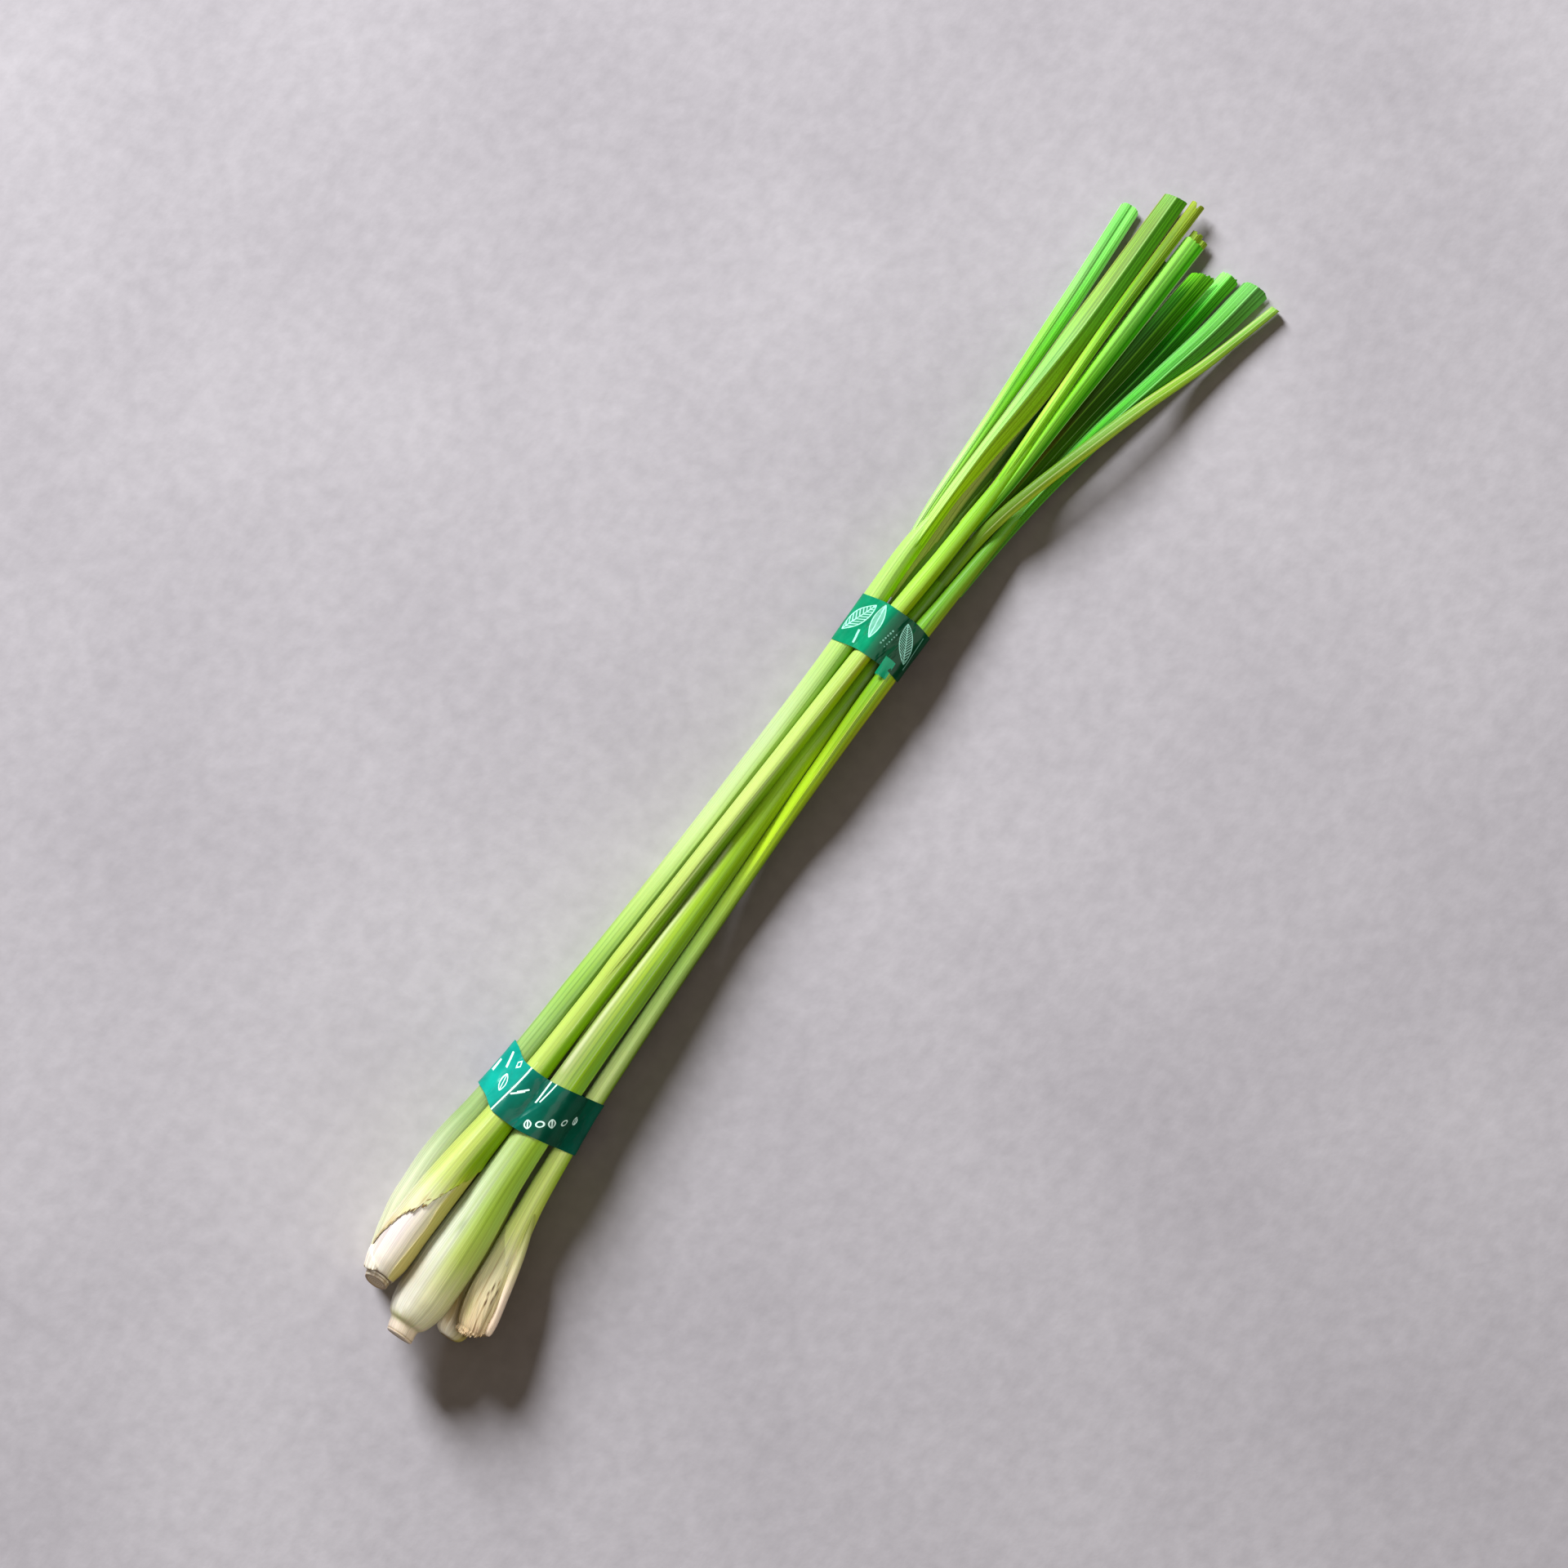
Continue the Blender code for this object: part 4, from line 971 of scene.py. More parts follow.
class Print(Shader):
    """Plastic tape with a print of simple motifs, placed in millimetres round and over the band."""

    def __init__(self, name, tape):
        super().__init__(name)
        round_it, over = self.skin()
        self.round = self.divided(round_it, PRINT_PER_MM)
        self.over = self.divided(over, PRINT_PER_MM)
        self.tape = tape
        self.ink = None

    def distance_round(self, across, edge):
        """Millimetres round the band to a place on its upper side, and the whole way round it."""
        points, _, _, spaced = tape_path(self.tape, edge, PRINT_GAP, TAPE_POINTS)
        upper = slice(0, int(np.argmin(points[:, 0])))
        return float(np.interp(-across, -points[upper, 0], spaced[upper])), float(spaced[-1])

    def local(self, across, edge, angle):
        """Coordinates of a motif: its own middle at a place on the band's upper side, turned by degrees."""
        x = self.minus(self.over, edge)
        y = self.minus(self.distance_round(across, edge)[0], self.round)
        cosine, sine = math.cos(math.radians(angle)), math.sin(math.radians(angle))
        return (self.plus(self.times(x, cosine), self.times(y, sine)),
                self.minus(self.times(y, cosine), self.times(x, sine)))

    def add(self, shape, strength=1.0):
        """More ink."""
        if strength != 1.0:
            shape = self.times(shape, strength)
        self.ink = shape if self.ink is None else self.math("MAXIMUM", self.ink, shape)

    def inside(self, value, limit):
        return self.math("LESS_THAN", self.math("ABSOLUTE", value), limit)

    def bar(self, across, edge, angle, half_length, half_width, strength=1.0):
        x, y = self.local(across, edge, angle)
        self.add(self.times(self.inside(x, half_length), self.inside(y, half_width)), strength)

    def dot(self, across, edge, radius, hole=0.0, strength=1.0):
        x, y = self.local(across, edge, 0)
        far = self.math("SQRT", self.plus(self.times(x, x), self.times(y, y)))
        shape = self.math("LESS_THAN", far, radius)
        if hole:
            shape = self.times(shape, self.math("GREATER_THAN", far, hole))
        self.add(shape, strength)

    def diamond(self, across, edge, angle, half_length, half_height, stroke, strength=1.0):
        x, y = self.local(across, edge, angle)
        far = self.plus(self.divided(self.math("ABSOLUTE", x), half_length),
                        self.divided(self.math("ABSOLUTE", y), half_height))
        self.add(self.inside(self.minus(far, 1.0), stroke), strength)

    def leaf(self, across, edge, angle, half_length, half_height, stroke, veins=0.0, fill=0.0, strength=1.0):
        """Outline of a leaf with its midrib, and with slanted veins or a light fill where asked."""
        x, y = self.local(across, edge, angle)
        ends = self.inside(x, half_length)
        share = self.divided(x, half_length)
        beside = self.math("ABSOLUTE", y)
        off = self.minus(beside, self.times(self.minus(1.0, self.times(share, share)), half_height))
        within = self.times(self.math("LESS_THAN", off, 0.0), ends)
        shape = self.times(self.math("MAXIMUM", self.inside(off, stroke), self.inside(y, stroke)), ends)
        if veins:
            slanted = self.times(self.minus(x, self.times(beside, VEIN_SLOPE)), veins)
            vein = self.math("LESS_THAN", self.math("FRACT", slanted), VEIN_SHARE)
            shape = self.math("MAXIMUM", shape, self.times(vein, within))
        self.add(shape, strength)
        if fill:
            self.add(within, fill)

    def close(self, film, lit_film, ink):
        """Semi-gloss film with the print on it, a little worn. Across the band its colour is painted lighter
        and darker, as painted light and shade.
        """
        place = self.node("ShaderNodeTexCoord").outputs["Object"]
        wear, cloud = self.cloud(place, 900.0, 3.0), self.cloud(place, 160.0, 3.0)
        stops = []
        for across, value in self.tape["bands"]:
            reached, whole = self.distance_round(across, 0.0)
            stops.append((reached / whole, value))
        over = self.plus(self.divided(self.round, whole), self.swing(cloud, 0.02))
        # Painted light and shade: the film turns from its shaded colour to its painted lit colour across the
        # band.
        colour = self.mix(self.ramp(over, stops), film, lit_film)
        colour = self.toned(colour, cloud, [(0.3, 0.8), (0.7, 1.2)])
        amount = self.times(self.ink, self.ramp(wear, [(0.28, 0.72), (0.5, 1.0)]))
        relief = self.bump(wear, 0.00004, 0.3, self.bump(cloud, 0.0006, 0.35))
        rough = self.ramp(cloud, [(0.3, 0.30), (0.7, 0.40)])
        return self.finish(self.mix(amount, colour, ink), rough, relief, Coat_Weight=0.05,
                           Coat_Roughness=0.08, Specular_IOR_Level=0.06)


def lower_print():
    made = Print("tape_lower", TAPES["band_lower"])
    made.bar(21.0, 0.0, 2, 9.0, 0.24)
    made.leaf(11.6, -5.7, 38, 1.6, 0.8, 0.2)
    made.dot(8.6, -4.1, 1.15, 0.7)
    made.leaf(5.8, -2.5, 38, 1.6, 0.8, 0.2)
    made.dot(3.0, -0.8, 1.15, 0.7)
    made.leaf(0.2, 0.9, 38, 1.6, 0.8, 0.2)
    made.leaf(24.4, -1.0, 34, 2.9, 1.7, 0.24)
    made.bar(19.0, 0.3, -38, 2.0, 0.26)
    made.bar(18.0, 1.7, -38, 1.7, 0.26)
    made.bar(12.9, 5.0, 7, 4.2, 0.26)
    made.bar(11.5, 5.2, -1, 3.6, 0.22)
    made.bar(28.6, -0.4, 4, 2.1, 0.55)
    made.bar(26.3, 4.0, 22, 2.4, 0.4)
    made.diamond(23.4, 6.4, 0, 1.3, 1.0, 0.3)
    # The film in shade, the film's painted lit colour, and the ink.
    return made.close((0.0005, 0.036, 0.012), (0.001, 0.30, 0.23), (0.62, 0.86, 0.76))


def upper_print():
    made = Print("tape_upper", TAPES["band_upper"])
    made.leaf(14.0, 1.0, -24, 5.6, 2.1, 0.16, 0.9, 0.10)
    made.leaf(8.9, 2.0, 8, 5.4, 1.5, 0.16, 0.0, 0.40)
    made.bar(11.6, -4.6, 10, 2.2, 0.3)
    made.leaf(-1.6, 1.6, 30, 5.6, 2.0, 0.13, 1.4, 0.0, 0.5)
    for number in range(6):
        made.dot(4.6 - 0.22 * number, -2.6 + 0.95 * number, 0.3, 0.0, 0.45)
        made.dot(3.1 - 0.22 * number, -2.9 + 0.95 * number, 0.22, 0.0, 0.35)
    made.dot(-1.5, -6.0, 0.85, 0.45, 0.5)
    made.bar(-5.0, 1.0, 3, 5.5, 0.12, 0.3)
    # The film in shade, the film's painted lit colour, and the ink.
    return made.close((0.0004, 0.018, 0.004), (0.002, 0.26, 0.12), (0.36, 0.78, 0.62))


# ---------------------------------------------------------------- colours of the plants

SKINS = {
    "stalk_left": plant_material(
        "skin_left",
        lit=((7, (0.80, 0.76, 0.48)), (14, (0.72, 0.73, 0.48)), (35, (0.54, 0.59, 0.39)),
             (50, (0.37, 0.46, 0.24)), (60, (0.26, 0.38, 0.14)), (90, (0.27, 0.44, 0.12)),
             (110, (0.26, 0.46, 0.07)), (140, (0.36, 0.52, 0.13)), (170, (0.44, 0.57, 0.23)),
             (200, (0.42, 0.55, 0.25)), (235, (0.36, 0.57, 0.13)), (300, (0.34, 0.58, 0.12))),
        shaded=((7, (0.55, 0.48, 0.20)), (20, (0.56, 0.56, 0.20)), (45, (0.36, 0.46, 0.10)),
              (65, (0.22, 0.34, 0.07)), (100, (0.20, 0.34, 0.06)), (125, (0.20, 0.38, 0.02)),
              (145, (0.14, 0.33, 0.001)), (170, (0.30, 0.58, 0.001)), (200, (0.32, 0.60, 0.004)),
              (228, (0.10, 0.29, 0.001)), (262, (0.26, 0.55, 0.002)), (300, (0.14, 0.32, 0.001))),
        shade=(0.13, 0.31), stripes=(82, 112, 0.45)),
    "stalk_front": plant_material(
        "skin_front",
        lit=((5, (0.44, 0.36, 0.26)), (8, (0.80, 0.74, 0.62)), (20, (0.66, 0.58, 0.55)),
             (30, (0.68, 0.63, 0.57)), (42, (0.70, 0.70, 0.52)), (60, (0.40, 0.51, 0.09)),
             (84, (0.40, 0.54, 0.10)), (120, (0.37, 0.50, 0.08)), (150, (0.38, 0.50, 0.11)),
             (180, (0.46, 0.57, 0.15)), (240, (0.36, 0.54, 0.10)), (262, (0.32, 0.60, 0.05)),
             (300, (0.18, 0.46, 0.012))),
        shaded=((5, (0.34, 0.26, 0.16)), (10, (0.76, 0.68, 0.46)), (25, (0.76, 0.69, 0.46)),
              (40, (0.68, 0.68, 0.34)), (60, (0.19, 0.36, 0.001)), (90, (0.17, 0.37, 0.0005)),
              (120, (0.17, 0.35, 0.0005)), (150, (0.10, 0.22, 0.0005)), (180, (0.13, 0.29, 0.0005)),
              (210, (0.25, 0.45, 0.001)), (232, (0.29, 0.38, 0.002)), (300, (0.16, 0.40, 0.002))),
        shade=(0.14, 0.28),
        rings=((4.9, 0.22, 0.7, BROWN), (6.0, 0.2, 0.5, BROWN), (7.0, 0.28, 0.85, DARK_BROWN)),
        lines=((0.345, 0.006, 224, 236, 0.75, BROWN), (0.31, 0.004, 227, 236, 0.6, BROWN),
               (0.28, 0.010, 96, 232, 0.35, (0.75, 0.88, 0.35)))),
    "stalk_centre": plant_material(
        "skin_centre",
        # From about 225 mm on, its lit, shaded and low colours are all painted very dark, as painted shade
        # where it lies low between the front and right stalks.
        lit=((-4, (0.68, 0.58, 0.46)), (-0.5, (0.70, 0.62, 0.47)), (0.5, (0.56, 0.54, 0.34)),
             (2.5, (0.76, 0.74, 0.60)), (6, (0.64, 0.62, 0.52)), (12, (0.50, 0.49, 0.40)),
             (25, (0.55, 0.57, 0.45)), (40, (0.46, 0.53, 0.33)), (64, (0.34, 0.47, 0.14)),
             (90, (0.29, 0.36, 0.11)), (120, (0.32, 0.45, 0.045)), (160, (0.27, 0.45, 0.018)),
             (200, (0.20, 0.38, 0.012)), (240, (0.10, 0.24, 0.004)), (276, (0.10, 0.26, 0.003))),
        shaded=((-4, (0.70, 0.58, 0.42)), (0.5, (0.60, 0.55, 0.30)), (3, (0.70, 0.67, 0.45)),
              (12, (0.64, 0.63, 0.34)), (25, (0.43, 0.53, 0.10)), (40, (0.32, 0.48, 0.04)),
              (55, (0.28, 0.44, 0.032)), (90, (0.24, 0.42, 0.005)), (120, (0.20, 0.38, 0.002)),
              (160, (0.18, 0.34, 0.001)), (200, (0.24, 0.42, 0.004)), (225, (0.07, 0.16, 0.001)),
              (276, (0.08, 0.20, 0.001))),
        low=((-4, (0.72, 0.58, 0.40)), (0.5, (0.60, 0.55, 0.34)), (12, (0.57, 0.56, 0.27)),
             (25, (0.42, 0.52, 0.11)), (40, (0.39, 0.60, 0.08)), (55, (0.33, 0.57, 0.055)),
             (90, (0.24, 0.56, 0.012)), (120, (0.18, 0.38, 0.001)), (160, (0.17, 0.33, 0.001)),
             (200, (0.34, 0.54, 0.006)), (225, (0.04, 0.11, 0.001)), (276, (0.06, 0.16, 0.001))),
        shade=(0.11, 0.20), low_shade=(0.25, 0.32), stripes=(88, 116, 0.35),
        rings=((-3.8, 0.22, 0.55, BROWN), (0.0, 0.8, 0.45, (0.40, 0.38, 0.14))),
        lines=((0.11, 0.035, 88, 165, 0.55, (0.62, 0.64, 0.42)),
               (0.155, 0.006, 84, 160, 0.5, (0.20, 0.26, 0.04)),
               (0.24, 0.006, 86, 125, 0.6, (0.12, 0.22, 0.02)),
               (0.29, 0.006, 84, 130, 0.5, (0.60, 0.74, 0.30)),
               (0.33, 0.008, 88, 140, 0.55, (0.14, 0.26, 0.02))),
        # The first mark is painted shadow: the brown shade that the front stalk casts on this stalk's left
        # side by the bulb. The others are marks of its own skin.
        stains_and_shadows=((12, 0.045, 7, 0.055, 0.5, (0.42, 0.30, 0.12)),
                (33, 0.20, 2.6, 0.018, 0.55, (0.24, 0.31, 0.16)),
                (40, 0.10, 3.0, 0.02, 0.5, (0.28, 0.36, 0.18)),
                (0.3, 0.16, 1.0, 0.09, 0.6, (0.44, 0.45, 0.18)),
                (14, 0.13, 5, 0.03, 0.35, (0.60, 0.50, 0.32)))),
    "stalk_right": plant_material(
        "skin_right",
        # From 30 to 130 mm the lit colour is painted lighter than the stalk's own yellow-green, as painted
        # light where the centre stalk shades it.
        lit=((7, (0.48, 0.35, 0.16)), (14, (0.52, 0.42, 0.20)), (22, (0.56, 0.49, 0.28)),
             (30, (0.78, 0.72, 0.46)), (40, (0.84, 0.92, 0.30)), (60, (0.78, 0.94, 0.24)),
             (90, (0.78, 0.95, 0.36)), (130, (0.56, 0.88, 0.20)), (170, (0.52, 0.80, 0.025)),
             (210, (0.24, 0.42, 0.009)), (235, (0.14, 0.36, 0.014)), (300, (0.08, 0.26, 0.01))),
        shaded=((7, (0.42, 0.29, 0.11)), (14, (0.48, 0.37, 0.15)), (34, (0.46, 0.45, 0.12)),
              (48, (0.46, 0.56, 0.07)), (60, (0.30, 0.47, 0.02)), (90, (0.14, 0.26, 0.002)),
              (130, (0.08, 0.14, 0.001)), (170, (0.16, 0.28, 0.0005)), (210, (0.25, 0.32, 0.001)),
              (230, (0.31, 0.38, 0.002)), (300, (0.07, 0.22, 0.002))),
        shade=(0.16, 0.34),
        lines=((0.30, 0.009, 17, 30, 0.7, BROWN), (0.385, 0.007, 16, 43, 0.75, BROWN),
               (0.345, 0.005, 18, 26, 0.6, DARK_BROWN), (0.25, 0.012, 196, 236, 0.5, (0.55, 0.70, 0.10)),
               (0.29, 0.008, 198, 236, 0.6, (0.08, 0.14, 0.01)),
               (0.36, 0.008, 200, 236, 0.6, (0.10, 0.16, 0.01)),
               (0.20, 0.008, 200, 236, 0.5, (0.10, 0.20, 0.01))),
        stains_and_shadows=((18.5, 0.32, 1.6, 0.014, 0.8, BROWN), (21.5, 0.34, 1.2, 0.012, 0.85, DARK_BROWN),
                (22.5, 0.295, 1.4, 0.010, 0.7, BROWN), (33, 0.34, 4.0, 0.03, 0.5, (0.74, 0.60, 0.48)),
                (43, 0.36, 1.8, 0.014, 0.6, BROWN), (27, 0.30, 5.0, 0.03, 0.45, (0.34, 0.36, 0.28)))),
    "stalk_under": plant_material(
        "skin_under",
        # The cream by the cut end is painted lighter than its own colour, as painted light where the centre
        # stalk shades it.
        lit=((3, (0.92, 0.85, 0.66)), (6, (0.80, 0.70, 0.50)), (8, (0.46, 0.36, 0.20)),
             (14, (0.30, 0.21, 0.06)), (40, (0.30, 0.40, 0.06)), (300, (0.12, 0.28, 0.01))),
        shaded=((3, (0.44, 0.37, 0.10)), (9, (0.42, 0.34, 0.12)), (14, (0.34, 0.28, 0.09)),
              (60, (0.18, 0.30, 0.02)), (300, (0.08, 0.20, 0.003))),
        shade=(0.16, 0.34), stains_and_shadows=((6.2, 0.40, 1.2, 0.03, 0.9, DARK_BROWN),)),
}
SHEATH_SKIN = plant_material(
    "skin_torn_sheath",
    lit=((12, (0.66, 0.59, 0.38)), (24, (0.66, 0.62, 0.44)), (34, (0.56, 0.58, 0.32)),
         (42, (0.46, 0.54, 0.15)), (50, (0.44, 0.52, 0.11)), (60, (0.40, 0.51, 0.09)),
         (84, (0.40, 0.54, 0.10))),
    shaded=((12, (0.54, 0.48, 0.24)), (30, (0.42, 0.44, 0.07)), (40, (0.34, 0.40, 0.03)),
          (50, (0.20, 0.35, 0.003)), (84, (0.17, 0.37, 0.0005))),
    shade=(0.15, 0.28), layer=True,
    stains_and_shadows=((22, 0.10, 2.6, 0.035, 0.6, (0.50, 0.36, 0.11)), (27, 0.145, 2.4, 0.03, 0.6, (0.52, 0.42, 0.12)),
            (33, 0.21, 2.2, 0.015, 0.6, (0.42, 0.32, 0.10)), (17, 0.06, 3.0, 0.02, 0.5, (0.50, 0.38, 0.12))),
    lines=((0.075, 0.006, 16, 34, 0.55, (0.40, 0.38, 0.14)), (0.26, 0.006, 46, 84, 0.35, (0.16, 0.26, 0.02)),
           (0.19, 0.006, 50, 84, 0.4, (0.70, 0.80, 0.32))))
STRIP_SKIN = plant_material(
    "skin_inner_strip",
    lit=((8, (0.62, 0.52, 0.20)), (30, (0.56, 0.50, 0.16)), (50, (0.48, 0.50, 0.10))),
    shaded=((8, (0.52, 0.43, 0.13)), (30, (0.48, 0.44, 0.10)), (50, (0.40, 0.42, 0.05))),
    shade=(0.2, 0.4), layer=True, dry_margin=0.35)
COLLAR_SKIN = plant_material(
    "skin_white_collar",
    lit=((6, (0.80, 0.72, 0.58)), (14, (0.82, 0.78, 0.68))),
    shaded=((6, (0.72, 0.60, 0.42)), (14, (0.76, 0.70, 0.54))),
    shade=(0.2, 0.4), layer=True)
STRAW_SKIN = plant_material(
    "skin_straw_layers",
    lit=((6, (0.60, 0.44, 0.26)), (14, (0.66, 0.54, 0.32)), (26, (0.66, 0.60, 0.36)),
         (44, (0.60, 0.64, 0.22))),
    shaded=((6, (0.52, 0.36, 0.20)), (14, (0.56, 0.44, 0.22)), (26, (0.50, 0.44, 0.18)),
          (44, (0.46, 0.50, 0.10))),
    shade=(0.18, 0.36), layer=True,
    lines=((0.26, 0.006, 9, 18, 0.6, BROWN), (0.33, 0.005, 9, 24, 0.7, BROWN),
           (0.20, 0.005, 17, 31, 0.6, BROWN)),
    stains_and_shadows=((17.8, 0.262, 1.3, 0.008, 1.0, DARK_BROWN), (20.4, 0.252, 1.0, 0.007, 1.0, DARK_BROWN),
            (22.6, 0.268, 1.5, 0.007, 1.0, DARK_BROWN), (19.2, 0.30, 1.7, 0.007, 1.0, DARK_BROWN),
            (22.0, 0.312, 1.4, 0.007, 1.0, DARK_BROWN), (24.6, 0.296, 1.2, 0.006, 0.9, BROWN),
            (14, 0.16, 4.0, 0.04, 0.4, (0.44, 0.42, 0.14)), (9.5, 0.30, 1.6, 0.05, 0.5, (0.34, 0.20, 0.12))))
# The tongue's own pale pinkish cream, made lighter still as painted light where the right stalk shades it.
TONGUE_SKIN = plant_material(
    "skin_tongue",
    lit=((9, (0.84, 0.66, 0.48)), (22, (0.80, 0.65, 0.50)), (34, (0.62, 0.60, 0.30)),
         (48, (0.40, 0.48, 0.07))),
    shaded=((9, (0.84, 0.66, 0.50)), (22, (0.78, 0.62, 0.46)), (34, (0.58, 0.56, 0.24)),
          (48, (0.38, 0.46, 0.06))),
    shade=(0.2, 0.4))

ROLLED_SKIN = plant_material(
    "skin_rolled_blade",
    lit=((252, (0.06, 0.15, 0.004)), (290, (0.10, 0.20, 0.008)), (310, (0.10, 0.23, 0.006)),
         (330, (0.16, 0.34, 0.045)), (350, (0.22, 0.44, 0.02)), (370, (0.15, 0.38, 0.028)),
         (385, (0.25, 0.53, 0.09))),
    shaded=((252, (0.08, 0.19, 0.004)), (290, (0.28, 0.42, 0.012)), (310, (0.40, 0.54, 0.008)),
          (330, (0.28, 0.44, 0.01)), (385, (0.22, 0.46, 0.01))),
    shade=(0.2, 0.36),
    lines=((0.27, 0.010, 285, 386, 0.6, (0.62, 0.72, 0.28)),
           (0.315, 0.009, 285, 386, 0.6, (0.12, 0.19, 0.012)),
           (0.175, 0.012, 292, 386, 0.5, (0.12, 0.20, 0.02)),
           (0.12, 0.02, 340, 384, 0.65, (0.50, 0.36, 0.22)),
           (0.38, 0.012, 290, 386, 0.5, (0.55, 0.66, 0.08))))

# Each blade's left and right colours paint the light on its facet turned to the window light and the shade on
# the facet turned away, over its own greens.
LEAVES = {
    "fresh": blade_material(
        "leaf_fresh",
        ((262, (0.42, 0.66, 0.22)), (300, (0.38, 0.72, 0.20)), (315, (0.28, 0.70, 0.10)),
         (330, (0.20, 0.66, 0.05)), (345, (0.20, 0.62, 0.06)), (360, (0.22, 0.58, 0.13)),
         (380, (0.15, 0.60, 0.09)), (390, (0.20, 0.68, 0.12))),
        ((262, (0.30, 0.52, 0.08)), (300, (0.22, 0.56, 0.04)), (325, (0.12, 0.50, 0.003)),
         (350, (0.12, 0.62, 0.03)), (380, (0.26, 0.90, 0.15))),
        (0.06, 0.34, 0.03), (0.46, 0.78, 0.30)),
    "pale": blade_material(
        "leaf_pale",
        ((258, (0.42, 0.66, 0.07)), (290, (0.35, 0.60, 0.14)), (320, (0.24, 0.50, 0.11)),
         (335, (0.19, 0.46, 0.09)), (360, (0.21, 0.39, 0.05)), (385, (0.15, 0.29, 0.026)),
         (396, (0.15, 0.36, 0.05))),
        ((258, (0.22, 0.56, 0.0005)), (290, (0.33, 0.56, 0.003)), (320, (0.20, 0.38, 0.004)),
         (340, (0.13, 0.34, 0.003)), (360, (0.10, 0.38, 0.015)), (396, (0.065, 0.29, 0.004))),
        (0.34, 0.62, 0.18), (0.30, 0.34, 0.05)),
    "ageing": blade_material(
        "leaf_ageing",
        ((282, (0.22, 0.50, 0.012)), (300, (0.15, 0.42, 0.005)), (330, (0.33, 0.70, 0.06)),
         (360, (0.15, 0.40, 0.008)), (385, (0.13, 0.25, 0.005)), (398, (0.26, 0.36, 0.012))),
        ((282, (0.16, 0.38, 0.004)), (330, (0.18, 0.48, 0.008)), (360, (0.10, 0.30, 0.003)),
         (398, (0.20, 0.28, 0.004))),
        (0.28, 0.46, 0.03), (0.38, 0.40, 0.05)),
    "green": blade_material(
        "leaf_green",
        ((282, (0.14, 0.40, 0.01)), (310, (0.26, 0.66, 0.03)), (335, (0.24, 0.76, 0.02)),
         (360, (0.32, 0.84, 0.11)), (388, (0.32, 0.84, 0.09))),
        ((282, (0.04, 0.20, 0.001)), (330, (0.045, 0.28, 0.001)), (360, (0.035, 0.34, 0.0005)),
         (388, (0.06, 0.42, 0.002))),
        (0.36, 0.80, 0.16), (0.34, 0.56, 0.18), fold=(0.5, 0.86)),
    # Painted shade: dark along most of its length, where the blade above shades it, and lighter towards its
    # tip.
    "dark": blade_material(
        "leaf_dark",
        ((262, (0.06, 0.18, 0.003)), (310, (0.05, 0.055, 0.003)), (330, (0.012, 0.028, 0.001)),
         (358, (0.006, 0.035, 0.001)), (374, (0.014, 0.11, 0.001)), (382, (0.11, 0.44, 0.012))),
        ((262, (0.05, 0.16, 0.002)), (330, (0.014, 0.045, 0.001)), (358, (0.022, 0.09, 0.002)),
         (374, (0.03, 0.20, 0.001)), (382, (0.10, 0.42, 0.012))),
        (0.07, 0.16, 0.01), (0.22, 0.30, 0.12), sheen=0.1),
    # Painted shade: dark along most of its length, where the blades above shade it, and lighter towards its
    # tip.
    "shaded": blade_material(
        "leaf_deep",
        ((262, (0.07, 0.20, 0.003)), (340, (0.008, 0.05, 0.001)), (358, (0.006, 0.09, 0.001)),
         (372, (0.02, 0.33, 0.002)), (384, (0.26, 0.95, 0.15))),
        ((262, (0.06, 0.18, 0.002)), (340, (0.008, 0.05, 0.001)), (358, (0.010, 0.10, 0.001)),
         (372, (0.02, 0.22, 0.002)), (384, (0.07, 0.36, 0.012))),
        (0.07, 0.28, 0.02), (0.10, 0.30, 0.04), sheen=0.2),
    # Its own olive near the root, then painted dark as painted shade where it runs under the front blades.
    "olive": blade_material(
        "leaf_olive",
        ((262, (0.34, 0.44, 0.06)), (300, (0.26, 0.30, 0.06)), (325, (0.10, 0.14, 0.03)),
         (345, (0.03, 0.08, 0.01)), (380, (0.02, 0.08, 0.002))),
        ((262, (0.10, 0.20, 0.006)), (290, (0.05, 0.12, 0.004)), (320, (0.012, 0.06, 0.01)),
         (380, (0.02, 0.08, 0.002))),
        (0.14, 0.22, 0.03), (0.40, 0.46, 0.16), sheen=0.3),
    "bright": blade_material(
        "leaf_bright",
        ((264, (0.07, 0.24, 0.004)), (300, (0.04, 0.20, 0.003)), (330, (0.045, 0.30, 0.012)),
         (350, (0.06, 0.35, 0.03)), (375, (0.085, 0.40, 0.028)), (388, (0.11, 0.42, 0.06))),
        ((264, (0.07, 0.22, 0.002)), (330, (0.035, 0.22, 0.001)), (350, (0.043, 0.27, 0.0005)),
         (375, (0.064, 0.24, 0.02)), (388, (0.09, 0.32, 0.05))),
        (0.26, 0.66, 0.20), (0.10, 0.34, 0.07), sheen=0.7),
}

